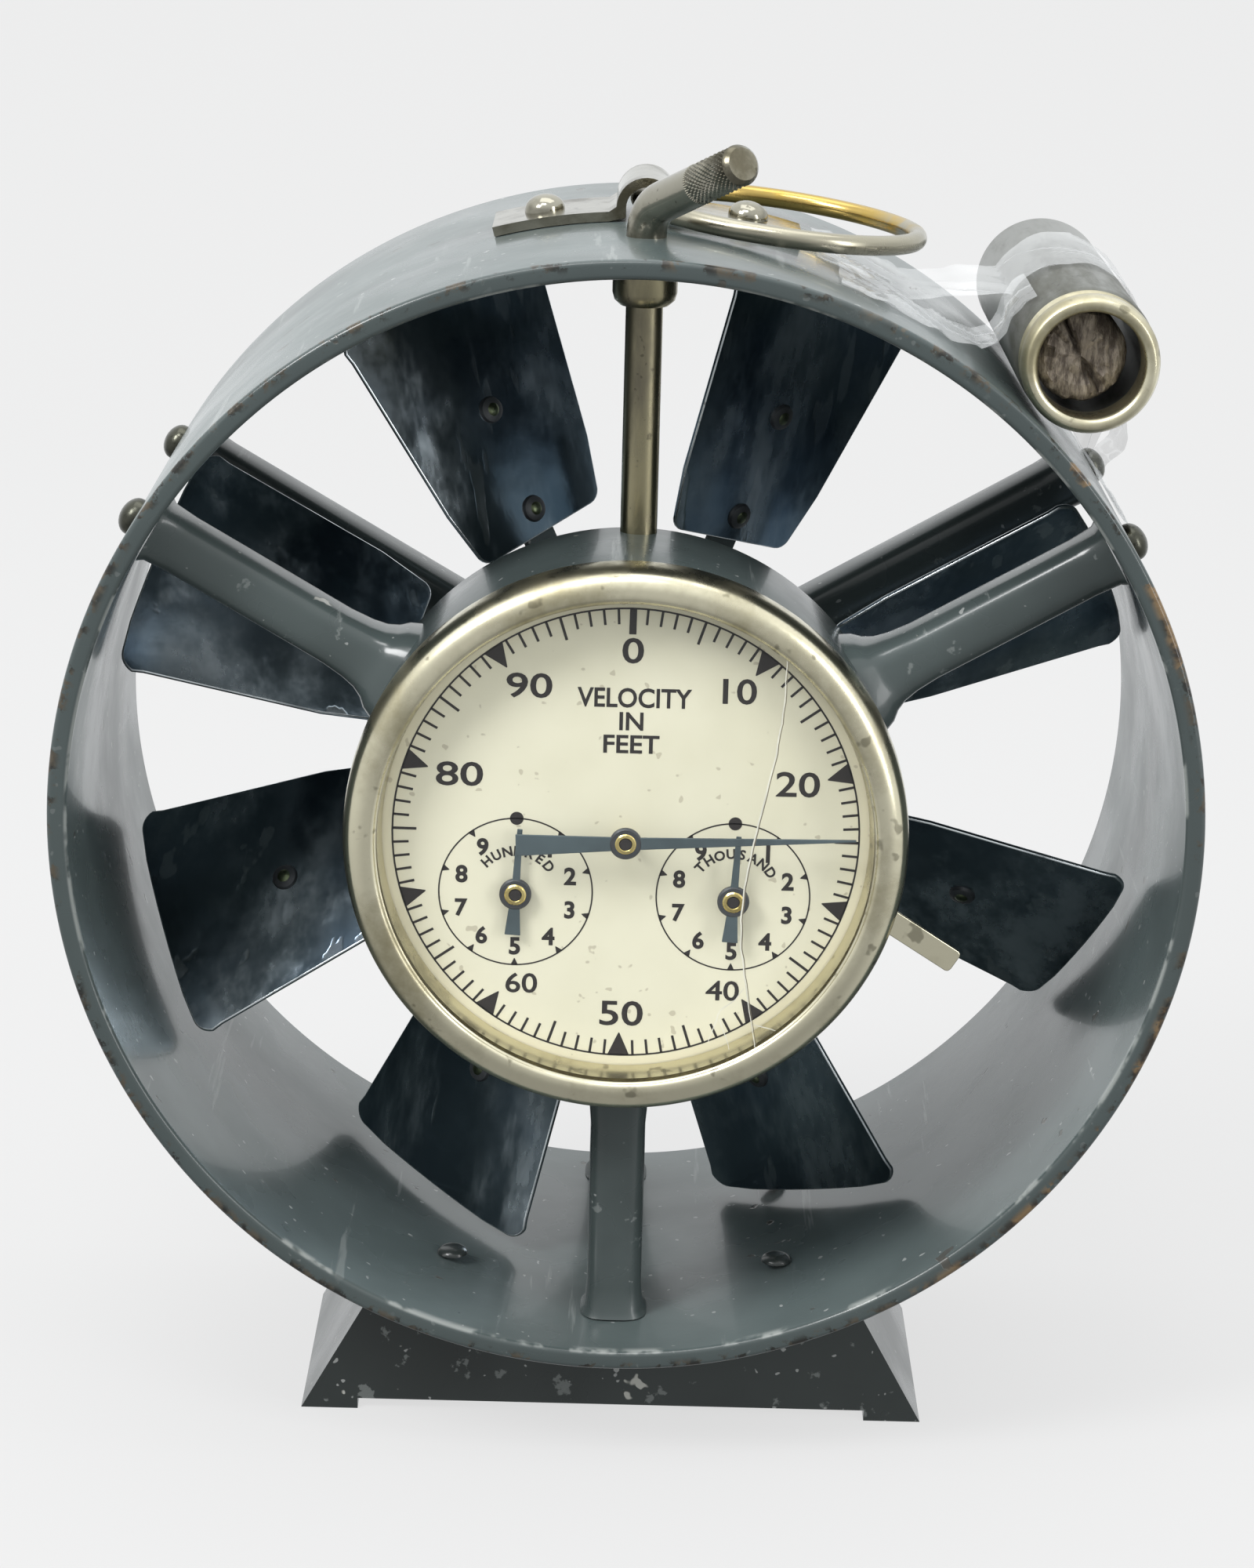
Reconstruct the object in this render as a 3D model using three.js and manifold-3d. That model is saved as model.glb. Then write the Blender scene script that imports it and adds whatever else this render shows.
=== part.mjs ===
// Vane anemometer: a ring-shaped duct with an eight-blade vane wheel, a geared counter with
// three hands behind a glass, a cast base, a hanging ring and a handle ferrule taped on.
// Drawn in millimetres on the duct's own axis: X right, Y from the dial towards the back,
// Z up, with Y = 0 at the duct's front rim. The last lines stand it on its feet.
import * as THREE from 'three';
import { mergeVertices } from 'three/addons/utils/BufferGeometryUtils.js';
import Module from 'manifold-3d';

const wasm = await Module();
wasm.setup();

// ---- driving dimensions ----
const RING = { outer: 54, inner: 52.15, depth: 52.5, edge: 0.45 };
const GAP = 0.1; // running or seating gap between neighbouring pieces
const BASE = {
  halfWidth: 31.2, front: 12.4, back: 40.3, bottom: -64.6, sideLean: 0.556,
  footHeight: 1.1, footWidth: 5.7, wall: 2.4, screwX: 16.3, screwY: [16.2, 36.5],
};
const CASE = { outer: 26, inner: 24.7, front: 1.25, back: 17.4, rearWall: 16.2 };
const SPOKE = {
  angles: [30, 150, 270], halfWidth: 2.7, halfDepth: 3.2, end: 51.9,
  frontY: 10.8, rearY: 46.5, flare: 4.5,
};
const SPOKE_SCREW = { shank: 1, head: 1.85, headHeight: 1.35, grip: 5 };
const BEZEL = { inner: 22.75, lip: 23.1, crest: 23.9, outer: 26.35, crestY: -3.3, back: 1.15 };
const GLASS = { radius: 23.6, front: -2.87, back: -2.12 };
const DIAL = { radius: 24.3, front: 0.95, thick: 0.8 };
const SUB_DIAL = { x: 10.2, z: -5.8 };
const WHEEL = {
  y: 29.6, firstAngle: 24.15, blades: 8, pitch: -41.4, hub: 4.2, hubLength: 9, shaft: 1,
};
const BLADE = {
  inner: 23.9, outer: 50.6, widthAt20: 16, widthAt50: 25.9, offset: -1, thick: 0.5,
  corner: 2.2, rivets: [26.5, 37.2], rivetHead: 1.35,
};
const ARM = { width: 3.6, thick: 0.9, end: 40 };
const TOP = { x: 0.5, stemY: 14.9 }; // axis of the reset tube and its lever
const TUBE = { outer: 1.75, inner: 1.3, bottom: 24.9, collar: 3.05, collarBottom: 47.6 };
const LEVER = { radius: 1.9, bend: 56.5, lean: 21, turn: 32, reach: 17, bendRadius: 3 };
const SPRING = { radius: 0.97, wire: 0.2, turns: 3, bottom: 21.9, top: 24.2 };
const HANGER = {
  x: 0.5, y: 29, halfLength: 14.5, halfWidth: 5.25, thick: 0.9, archInner: 1.95,
  archTop: 58.2, rivetX: 9.7,
};
const LOOP = { radius: 13.5, wire: 0.95, pivotX: 0.4, pivotZ: 55.6, droop: 6.7, inset: 0.53 };
const FERRULE = { x: 41.05, z: 45.1, outer: 6.45, inner: 5.3, mouth: 4.9, front: 2, back: 52 };
const STUB = { radius: 4.3, front: 6.5, dx: -0.5, dz: 0.1 };
const TAPE = { front: 20, back: 38, thick: 0.22 };
const START = { pivot: [21, -5.9], y: 3.2, thick: 0.6, halfWidth: 1.15, tip: 12.5, angle: -32.3 };
const PLATE = { radius: 24.4, front: 2.1, bridge: 5.85, back: 13.95, thick: 0.6, rear: 0.8 };
const PILLAR = { radius: 1.1, at: 22.4, angles: [60, 180, 300] };
const REAR_HUB = { outer: 6, front: 43.5, back: 50.2, bore: 2.2 };
const SHAFT_BUSH = { outer: 2.25, front: 13.6, back: 18.4 };
const BEARING_SCREW = { outer: 2.1, cup: 1.1, front: 45.6, cupEnd: 48.2, back: 51.4 };
const SHAFT = { journal: 0.5, front: 8.6, back: 47.8 };
const MAIN_HAND = {
  tip: 21.4, tail: 10.2, tipWidth: 0.25, rootWidth: 1.2, tailWidth: 2.1, y: -1.85, turn: 2.2,
};
const SMALL_HAND = { tip: 6.4, tail: 4, tipWidth: 0.5, rootWidth: 0.8, tailWidth: 1.5, turn: 87 };
const SMALL_HAND_Y = { hundreds: 0.05, thousands: -0.6 };
const HAND_THICK = 0.25;
const HAND_HUB = 1.5;

// ---- movement: [x, z] of each arbor and the gears that mesh, by layer along Y ----
const LAYER = { a: 3.2, b: 3.85, c: 4.5, d: 6.6, thick: 0.45 };
const CROSS = { y: 10.3, z: -4.7 };
const SECOND = [9, 0];
const CENTRE = [0, 0];
const IDLER_A = [-5.875, -1.217];
const HUNDREDS = [-SUB_DIAL.x, SUB_DIAL.z];
const IDLER_B = [-0.3, -10.6];
const THOUSANDS = [SUB_DIAL.x, SUB_DIAL.z];
const FINE = 0.3; // gear module of the centre and hundreds train
const COARSE = 0.55; // gear module of the thousands train

// ---- materials ----
function finish(color, roughness, metalness) {
  return new THREE.MeshStandardMaterial({ color, roughness, metalness });
}
const ENAMEL = finish(0x6f777b, 0.4, 0.2);
const DARK_ENAMEL = finish(0x4a5154, 0.4, 0.2);
const BLUED = finish(0x3a4756, 0.3, 0.9);
const CHAMPAGNE = finish(0xc9c0a4, 0.4, 0.9);
const BRASS = finish(0x8f7a45, 0.4, 0.9);
const NICKEL = finish(0xb3ada0, 0.3, 0.95);
const STEEL = finish(0x9a9c9e, 0.35, 0.95);
const CREAM = finish(0xe2dfc4, 0.6, 0);
const GLASS_FINISH = finish(0xdfe8e8, 0.05, 0);
const GREY_TUBE = finish(0x85878a, 0.6, 0.3);
const WOOD = finish(0x76685a, 0.9, 0);
const FILM = finish(0xd6dadc, 0.3, 0);
const HAND = finish(0x45575d, 0.4, 0.6);

// ---- solids: every shape passes through here to be merged, closed and turned right way out ----
const radians = THREE.MathUtils.degToRad;

function solid(geometry) {
  const bare = geometry.index ? geometry.toNonIndexed() : geometry.clone();
  bare.deleteAttribute('normal');
  bare.deleteAttribute('uv');
  const merged = mergeVertices(bare, 1e-5);
  const index = merged.index.array;
  const kept = [];
  for (let i = 0; i < index.length; i += 3) {
    const [a, b, c] = [index[i], index[i + 1], index[i + 2]];
    if (a !== b && b !== c && c !== a) kept.push(a, b, c);
  }
  const p = merged.attributes.position.array;
  if (signedVolume(p, kept) < 0) {
    for (let i = 0; i < kept.length; i += 3) [kept[i + 1], kept[i + 2]] = [kept[i + 2], kept[i + 1]];
  }
  return new wasm.Manifold(new wasm.Mesh({
    numProp: 3, vertProperties: new Float32Array(p), triVerts: new Uint32Array(kept),
  }));
}

function signedVolume(p, index) {
  const [a, b, c] = [new THREE.Vector3(), new THREE.Vector3(), new THREE.Vector3()];
  let total = 0;
  for (let i = 0; i < index.length; i += 3) {
    a.fromArray(p, index[i] * 3);
    b.fromArray(p, index[i + 1] * 3);
    c.fromArray(p, index[i + 2] * 3);
    total += a.dot(b.cross(c));
  }
  return total;
}

function mesh(name, body, material, group) {
  const made = body.getMesh();
  const geometry = new THREE.BufferGeometry();
  geometry.setAttribute('position', new THREE.BufferAttribute(made.vertProperties, 3));
  geometry.setIndex(new THREE.BufferAttribute(made.triVerts, 1));
  geometry.computeVertexNormals();
  const piece = new THREE.Mesh(geometry, material);
  piece.name = name;
  group.add(piece);
  return piece;
}

function union(bodies) {
  return bodies.reduce((sum, body) => sum.add(body));
}

// ---- shape helpers ----
// Revolved about the Y axis: profile points are [radius, y].
function turned(profile, segments = 32) {
  const points = profile.map(([r, y]) => new THREE.Vector2(r, y));
  return new THREE.LatheGeometry(points, segments);
}
// A hollow section closes on its own first point.
function turnedRing(profile, segments = 32) {
  return turned([...profile, profile[0]], segments);
}
function rod(radius, from, to, segments = 16) {
  return turned([[0, from], [radius, from], [radius, to], [0, to]], segments);
}
function dome(radius, height, from, segments = 12) {
  const steps = 2;
  const profile = [[0, from]];
  for (let i = 0; i < steps; i += 1) {
    const t = (i / steps) * Math.PI / 2;
    profile.push([radius * Math.cos(t), from + height * Math.sin(t)]);
  }
  profile.push([0, from + height]);
  return turned(profile, segments);
}
// Turned work whose axis is Y, stood up along Z.
function upright(geometry) {
  return geometry.rotateX(Math.PI / 2);
}
// Turned work whose axis is Y, laid along the radius at an angle about the duct's axis.
function radial(geometry, degrees, y) {
  return geometry.rotateZ(-Math.PI / 2).rotateY(-radians(degrees)).translate(0, y, 0);
}
// A plate: an outline in X and Z, from one Y to another.
function plate(outline, from, thick, curveSegments = 12) {
  const extruded = new THREE.ExtrudeGeometry(outline, {
    depth: thick, bevelEnabled: false, curveSegments,
  });
  return extruded.rotateX(Math.PI / 2).translate(0, from + thick, 0);
}
function outlineOf(points) {
  return new THREE.Shape(points.map(([x, z]) => new THREE.Vector2(x, z)));
}
function box(x0, x1, y0, y1, z0, z1) {
  const block = new THREE.BoxGeometry(x1 - x0, y1 - y0, z1 - z0);
  return block.translate((x0 + x1) / 2, (y0 + y1) / 2, (z0 + z1) / 2);
}
function onCircle(radius, degrees) {
  return [radius * Math.cos(radians(degrees)), radius * Math.sin(radians(degrees))];
}

// ---- duct ring: rolled ring with softened rims, drilled for every fastener ----
function ductRing() {
  const { outer, inner, depth, edge } = RING;
  const wall = turnedRing([
    [inner, 0], [outer - edge, 0], [outer, edge], [outer, depth - edge], [outer - edge, depth],
    [inner, depth],
  ], 72);
  let ring = solid(wall);
  const hole = SPOKE_SCREW.shank + GAP;
  for (const angle of SPOKE.angles) {
    for (const y of [SPOKE.frontY, SPOKE.rearY]) {
      ring = ring.subtract(solid(radial(rod(hole, 50, 58, 12), angle, y)));
    }
  }
  for (const [x, y] of baseScrewPlaces()) {
    ring = ring.subtract(solid(upright(rod(hole, -56, -46, 12)).translate(x, y, 0)));
  }
  ring = ring.subtract(solid(upright(rod(LEVER.radius + GAP, 50, 56, 16)).translate(TOP.x, TOP.stemY, 0)));
  for (const side of [-1, 1]) {
    ring = ring.subtract(solid(radial(rod(1 + GAP, 50, 56, 10), rivetAngle(side), HANGER.y)));
  }
  return ring;
}

// ---- base: a hollow casting on two foot rails, hollowed to cradle the ring ----
function baseScrewPlaces() {
  return [-1, 1].flatMap((side) => BASE.screwY.map((y) => [side * BASE.screwX, y]));
}
function baseOutline(inset, bottom, top) {
  const lean = (z) => BASE.halfWidth - inset - BASE.sideLean * (z - BASE.bottom);
  return [[-lean(bottom), bottom], [lean(bottom), bottom], [lean(top), top], [-lean(top), top]];
}
function baseBracket() {
  const { front, back, bottom, wall, footHeight, footWidth, halfWidth } = BASE;
  const top = -47;
  const block = plate(outlineOf(baseOutline(0, bottom, top)), front, back - front);
  const room = plate(outlineOf(baseOutline(wall * 1.15, bottom - 1, top)), front + wall,
    back - front - 2 * wall);
  const roof = rod(RING.outer + wall, front, back, 72);
  let body = solid(block).subtract(solid(room).subtract(solid(roof)));
  for (const [x, y] of baseScrewPlaces()) {
    body = body.add(solid(upright(rod(2.6, -60.5, -50, 14)).translate(x, y, 0)));
  }
  body = body.subtract(solid(rod(RING.outer + GAP, front - 5, back + 5, 72)));
  const arch = halfWidth - footWidth;
  body = body.subtract(solid(box(-arch, arch, front - 1, back + 1, bottom - 1, bottom + footHeight)));
  for (const [x, y] of baseScrewPlaces()) {
    body = body.subtract(solid(upright(rod(SPOKE_SCREW.shank + GAP, -59, -46, 12)).translate(x, y, 0)));
  }
  const relief = radial(rod(SPOKE_SCREW.head + 0.4, 53, 56.2, 16), 270, SPOKE.frontY);
  return body.subtract(solid(relief));
}
function baseScrew(x) {
  const surface = -Math.sqrt(RING.inner ** 2 - x ** 2);
  const head = dome(1.55, 0.8, surface + 0.55);
  const shank = rod(SPOKE_SCREW.shank, surface - 6, surface + 0.56, 12);
  return solid(upright(head)).add(solid(upright(shank)));
}

// ---- dial case and its three spokes, one casting; the rear spider is its partner ----
function spoke(angle, y, root, boss) {
  const { halfWidth, halfDepth, end, flare } = SPOKE;
  const profile = [
    [0, root], [flare, root], [flare, boss], [halfWidth + 0.6, boss + 1.7],
    [halfWidth, boss + 4.5], [halfWidth, end], [0, end],
  ];
  const shape = turned(profile, 12).scale(1, 1, halfDepth / halfWidth);
  const bar = solid(radial(shape, 0, 0).rotateY(-radians(angle)).translate(0, y, 0));
  const hole = radial(rod(SPOKE_SCREW.shank + GAP, end - 6, end + 1, 12), angle, y);
  return bar.subtract(solid(hole));
}
function dialCase() {
  const { outer, inner, front, back, rearWall } = CASE;
  const shell = turned([
    [0, front], [outer - 0.3, front], [outer, front + 0.3], [outer, back - 0.8],
    [outer - 0.8, back], [0, back],
  ], 48);
  let body = solid(shell);
  for (const angle of SPOKE.angles) body = body.add(spoke(angle, SPOKE.frontY, 20, outer - 0.4));
  body = body.subtract(solid(rod(inner, front - 1, rearWall, 40)));
  body = body.subtract(solid(rod(2.3 + GAP, rearWall - 1, back + 1, 20)));
  const tubeHole = upright(rod(TUBE.outer + GAP / 2, 20, 30, 16)).translate(TOP.x, TOP.stemY, 0);
  body = body.subtract(solid(tubeHole));
  return body.subtract(solid(leverSlot()));
}
function leverSlot() {
  const [px, pz] = START.pivot;
  const slot = box(1, 9, START.y - 0.3, START.y + START.thick + 0.3, -START.halfWidth - 0.4, 3.1);
  return slot.rotateY(-radians(START.angle)).translate(px, 0, pz);
}
function rearSpider() {
  const { outer, front, back, bore } = REAR_HUB;
  const hub = turned([
    [0, front], [outer - 0.8, front], [outer, front + 0.8], [outer, back - 1.2],
    [outer - 1.4, back], [0, back],
  ], 32);
  let body = solid(hub);
  for (const angle of SPOKE.angles) body = body.add(spoke(angle, SPOKE.rearY, 1, 5.4));
  return body.subtract(solid(rod(bore, front - 1.5, back + 1.8, 20)));
}
function spokeScrew(angle, y) {
  const start = RING.outer + GAP / 2;
  const head = radial(dome(SPOKE_SCREW.head, SPOKE_SCREW.headHeight, start), angle, y);
  const shank = radial(rod(SPOKE_SCREW.shank, start - SPOKE_SCREW.grip, start + 0.2, 12), angle, y);
  return solid(head).add(solid(shank));
}

// ---- dial front: bezel, glass and printed plate ----
function bezel() {
  const { inner, lip, crest, outer, crestY, back } = BEZEL;
  return solid(turnedRing([
    [lip, -3], [crest, crestY], [25.2, -3], [26.05, -2.05], [outer, -0.4], [outer, back],
    [24.5, back], [24.5, 0.8], [inner, 0.8], [inner, GLASS.back + 0.07],
    [23.7, GLASS.back + 0.07], [23.7, GLASS.front - 0.05], [lip, GLASS.front - 0.05],
  ], 40));
}
function dialPlate() {
  let body = solid(rod(DIAL.radius, DIAL.front, DIAL.front + DIAL.thick, 40));
  for (const [x, z] of [CENTRE, HUNDREDS, THOUSANDS]) {
    body = body.subtract(solid(rod(0.8, 0, 3, 10).translate(x, 0, z)));
  }
  return body;
}

// ---- movement plates ----
function movementPlate(from, thick, radius, holes) {
  let body = solid(rod(radius, from, from + thick, 36));
  for (const [x, z, r] of holes) {
    body = body.subtract(solid(rod(r, from - 1, from + thick + 1, 8).translate(x, 0, z)));
  }
  return body;
}
const ARBOR_HOLE = 0.6;
const PILLAR_HOLES = PILLAR.angles.map((angle) => [...onCircle(PILLAR.at, angle), PILLAR.radius + GAP]);
const DIAL_ARBORS = [CENTRE, IDLER_A, HUNDREDS, IDLER_B, THOUSANDS];
function backPlate() {
  const holes = [[...SECOND, ARBOR_HOLE], [0, 0, 2.5], ...PILLAR_HOLES];
  const notch = box(TOP.x - 2.8, TOP.x + 2.8, PLATE.back - 1, PLATE.back + 2, 20.8, 26);
  const disc = movementPlate(PLATE.back, PLATE.rear, PLATE.radius, holes).subtract(solid(notch));
  const lugs = [-5.2, 14.2].map((x) => {
    const lug = solid(box(x, x + 1.6, CROSS.y - 1.6, PLATE.back + 0.2, CROSS.z - 1.6, CROSS.z + 1.6));
    const eye = rod(ARBOR_HOLE + 0.02, x - 1, x + 3, 14).rotateZ(-Math.PI / 2);
    return lug.subtract(solid(eye.translate(0, CROSS.y, CROSS.z)));
  });
  return union([disc, ...lugs]);
}
function pillar() {
  const { radius } = PILLAR;
  const start = PLATE.front + PLATE.thick + 0.05;
  return solid(turned([
    [0, start], [radius + 0.35, start], [radius + 0.35, start + 1], [radius, start + 1.3],
    [radius, PLATE.back + 1.2], [0, PLATE.back + 1.2],
  ], 14));
}

// ---- gears: slim teeth that run clear of each other at every angle ----
function gearDisc(teeth, module, from, thick) {
  const pitchRadius = teeth * module / 2;
  const tip = pitchRadius + 0.55 * module;
  const root = pitchRadius - 0.75 * module;
  const step = 360 / teeth;
  const corners = [[-0.2, root], [0, tip], [0.2, root]];
  const points = [];
  for (let i = 0; i < teeth; i += 1) {
    for (const [share, radius] of corners) points.push(onCircle(radius, (i + share) * step));
  }
  return plate(outlineOf(points), from, thick);
}
// A tooth points along `towards` (degrees) on the driver; on the driven gear it is a gap.
function gear(teeth, module, layer, towards, isGap = false) {
  const turn = towards + (isGap ? 180 / teeth : 0);
  return solid(gearDisc(teeth, module, layer, LAYER.thick).rotateY(-radians(turn)));
}
function bearing(from, to) {
  return THREE.MathUtils.radToDeg(Math.atan2(to[1] - from[1], to[0] - from[0]));
}
// Screw thread of a worm: an oval section twisted along the axis.
function worm(radius, depth, from, to, turns) {
  const lobes = new THREE.Shape();
  const count = 8;
  for (let i = 0; i < count; i += 1) {
    const t = (i / count) * 2 * Math.PI;
    const r = radius - depth * (0.5 - 0.5 * Math.cos(2 * t));
    if (i === 0) lobes.moveTo(r, 0);
    else lobes.lineTo(r * Math.cos(t), r * Math.sin(t));
  }
  const length = to - from;
  const steps = 8;
  const body = new THREE.ExtrudeGeometry(lobes, { depth: length, steps, bevelEnabled: false });
  const spot = body.attributes.position;
  const point = new THREE.Vector3();
  const axis = new THREE.Vector3(0, 0, 1);
  for (let i = 0; i < spot.count; i += 1) {
    point.fromBufferAttribute(spot, i);
    point.applyAxisAngle(axis, (point.z / length) * turns * 2 * Math.PI);
    spot.setXYZ(i, point.x, point.y, point.z);
  }
  return body.rotateX(-Math.PI / 2).translate(0, from, 0);
}

// ---- vane wheel ----
function bladeOutline() {
  const { inner, outer, offset, corner, widthAt20, widthAt50 } = BLADE;
  const half = (r) => (widthAt20 + (widthAt50 - widthAt20) * (r - 20) / 30) / 2;
  const shape = new THREE.Shape();
  const [a, b] = [half(inner), half(outer)];
  const c = corner;
  shape.moveTo(inner, offset - a + c);
  shape.quadraticCurveTo(inner, offset - a, inner + c, offset - half(inner + c));
  shape.lineTo(outer - c - 0.6, offset - half(outer - c));
  shape.quadraticCurveTo(outer - 0.7, offset - b, outer - 0.6, offset - b + c);
  shape.quadraticCurveTo(outer + 0.6, offset, outer - 0.6, offset + b - c);
  shape.quadraticCurveTo(outer - 0.7, offset + b, outer - c - 0.6, offset + half(outer - c));
  shape.lineTo(inner + c, offset + half(inner + c));
  shape.quadraticCurveTo(inner, offset + a, inner, offset + a - c);
  return shape;
}
// Blade in its own plane: X along the radius, Y across the blade, Z towards the dial.
function blade() {
  const { thick, rivets, offset, rivetHead } = BLADE;
  const sheet = new THREE.ExtrudeGeometry(bladeOutline(), {
    depth: thick, bevelEnabled: false, curveSegments: 3,
  });
  let body = solid(sheet);
  const tail = -(ARM.thick + 2 * GAP + 0.5);
  for (const r of rivets) {
    const head = upright(dome(rivetHead, 0.6, thick - 0.05, 8));
    const shank = upright(rod(0.7, tail, thick, 6));
    body = body.add(solid(head.translate(r, offset, 0))).add(solid(shank.translate(r, offset, 0)));
  }
  return body;
}
function arm() {
  const { width, thick, end } = ARM;
  const y = BLADE.offset;
  const bar = box(1.5, end, y - width / 2, y + width / 2, -GAP - thick, -GAP);
  let body = solid(bar);
  for (const r of BLADE.rivets) {
    body = body.subtract(solid(upright(rod(0.8 + GAP, -3, 2, 6)).translate(r, y, 0)));
  }
  return body;
}
const BLADE_TILT = radians(90 - WHEEL.pitch);
function vaneSpider() {
  const { hub, hubLength, shaft, blades, firstAngle } = WHEEL;
  let body = solid(turned([
    [0, -hubLength / 2], [hub - 0.6, -hubLength / 2], [hub, 0.6 - hubLength / 2],
    [hub, hubLength / 2], [0, hubLength / 2],
  ], 20));
  for (let i = 0; i < blades; i += 1) {
    const turn = new THREE.Matrix4().makeRotationY(-radians(firstAngle + i * 360 / blades));
    turn.multiply(new THREE.Matrix4().makeRotationX(BLADE_TILT));
    body = body.add(arm().transform(turn.toArray()));
  }
  return body.subtract(solid(rod(shaft + 0.05, -20, 20, 16)));
}
function vaneShaft() {
  const { shaft } = WHEEL;
  const { journal, front, back } = SHAFT;
  const staff = turned([
    [0, front], [journal, front], [shaft, front + 0.5], [shaft, back - 0.6], [journal, back],
    [0, back],
  ], 16);
  return solid(staff).add(solid(worm(1.45, 0.3, front + 0.2, front + 3.2, 0.8)));
}

// ---- top fittings ----
function resetTube() {
  const { outer, inner, bottom } = TUBE;
  const top = RING.inner - 0.35;
  const pipe = turnedRing([[inner, bottom], [outer, bottom], [outer, top], [inner, top]], 24);
  return solid(upright(pipe)).translate(TOP.x, TOP.stemY, 0);
}
function tubeCollar() {
  const { outer, collar, collarBottom } = TUBE;
  const bore = outer + 0.05;
  const ring = turnedRing([
    [bore, collarBottom], [collar - 0.8, collarBottom], [collar - 0.1, collarBottom + 0.6],
    [collar, collarBottom + 1.2], [collar, RING.inner + 1], [bore, RING.inner + 1],
  ], 24);
  const body = solid(upright(ring)).translate(TOP.x, TOP.stemY, 0);
  const duct = rod(RING.inner - 0.1, TOP.stemY - 5, TOP.stemY + 5, 72);
  return body.intersect(solid(duct));
}
// Bent lever: a spindle down the tube, a stem through the ring and a rod leaning forward.
function resetLever() {
  const { radius, bend, lean, turn, reach, bendRadius } = LEVER;
  const out = new THREE.Vector3(
    Math.sin(radians(turn)) * Math.cos(radians(lean)),
    -Math.cos(radians(turn)) * Math.cos(radians(lean)), Math.sin(radians(lean)));
  const corner = new THREE.Vector3(0, 0, bend);
  const before = new THREE.Vector3(0, 0, bend - bendRadius);
  const after = corner.clone().addScaledVector(out, bendRadius);
  const end = corner.clone().addScaledVector(out, reach);
  const path = new THREE.CurvePath();
  path.add(new THREE.LineCurve3(new THREE.Vector3(0, 0, RING.inner + 0.2), before));
  path.add(new THREE.QuadraticBezierCurve3(before, corner, after));
  path.add(new THREE.LineCurve3(after, end));
  const section = new THREE.Shape();
  section.absarc(0, 0, radius, 0, 2 * Math.PI);
  const bar = new THREE.ExtrudeGeometry(section, {
    extrudePath: path, steps: 12, bevelEnabled: false, curveSegments: 8,
  });
  const [thin, thick] = [0.65, TUBE.inner - 0.15];
  const spindle = upright(turned([
    [0, 21.6], [thin, 21.6], [thin, 24.6], [thick, 24.6], [thick, RING.inner + 1],
    [0, RING.inner + 1]], 12));
  return solid(bar).add(solid(spindle));
}
// Return spring coiled round the spindle inside the case.
class Coil extends THREE.Curve {
  getPoint(t) {
    const angle = t * SPRING.turns * 2 * Math.PI;
    const rise = SPRING.bottom + t * (SPRING.top - SPRING.bottom);
    return new THREE.Vector3(SPRING.radius * Math.cos(angle), SPRING.radius * Math.sin(angle), rise);
  }
}
function resetSpring() {
  const wire = new THREE.Shape();
  wire.absarc(0, 0, SPRING.wire, 0, 2 * Math.PI);
  const coil = new THREE.ExtrudeGeometry(wire, {
    extrudePath: new Coil(), steps: 24, bevelEnabled: false, curveSegments: 3,
  });
  return solid(coil).translate(TOP.x, TOP.stemY, 0);
}
// Strap over the ring with an arch in the middle for the loop to turn in.
function rivetAngle(side) {
  return THREE.MathUtils.radToDeg(Math.acos((HANGER.x + side * HANGER.rivetX) / (RING.outer + 0.5)));
}
function hangerBracket() {
  const { x, y, halfLength, halfWidth, thick, archInner, archTop } = HANGER;
  const foot = RING.outer + GAP;
  const [archCentre, archOuter] = [archTop - thick - archInner, archInner + thick];
  const [right, left] = [x + halfLength, x - halfLength].map((end) => Math.acos(end / foot));
  const strap = new THREE.Shape();
  strap.absarc(0, 0, foot + thick, right, left, false);
  strap.absarc(0, 0, foot, left, right, true);
  const arch = (radius, drop) => {
    const shape = new THREE.Shape();
    shape.moveTo(x - radius, foot - drop);
    shape.lineTo(x - radius, archCentre);
    shape.absarc(x, archCentre, radius, Math.PI, 0, true);
    shape.lineTo(x + radius, foot - drop);
    return shape;
  };
  const start = y - halfWidth;
  let body = solid(plate(strap, start, 2 * halfWidth, 10));
  body = body.add(solid(plate(arch(archOuter, 1), start, 2 * halfWidth, 6)));
  body = body.subtract(solid(plate(arch(archInner, 2), start - 1, 2 * halfWidth + 2, 6)));
  body = body.subtract(solid(rod(foot, start - 1, start + 2 * halfWidth + 1, 72)));
  for (const side of [-1, 1]) {
    body = body.subtract(solid(radial(rod(1 + GAP, 50, 58, 10), rivetAngle(side), y)));
  }
  return body;
}
function hangerRivet(side) {
  const top = RING.outer + HANGER.thick + 2 * GAP;
  const head = radial(dome(1.95, 1.45, top), rivetAngle(side), HANGER.y);
  const shank = radial(rod(1, RING.inner - 0.5, top + 0.2, 10), rivetAngle(side), HANGER.y);
  return solid(head).add(solid(shank));
}
// The loop is drawn about its pivot line, lying to the right and drooping a little.
function hangingRing() {
  const { radius, wire, inset } = LOOP;
  const section = [];
  const sides = 8;
  for (let i = 0; i < sides; i += 1) {
    const t = (i / sides) * 2 * Math.PI;
    section.push([radius + wire * Math.cos(t), wire * Math.sin(t)]);
  }
  return solid(upright(turnedRing(section, 40)).translate(radius - inset, 0, 0));
}

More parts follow.
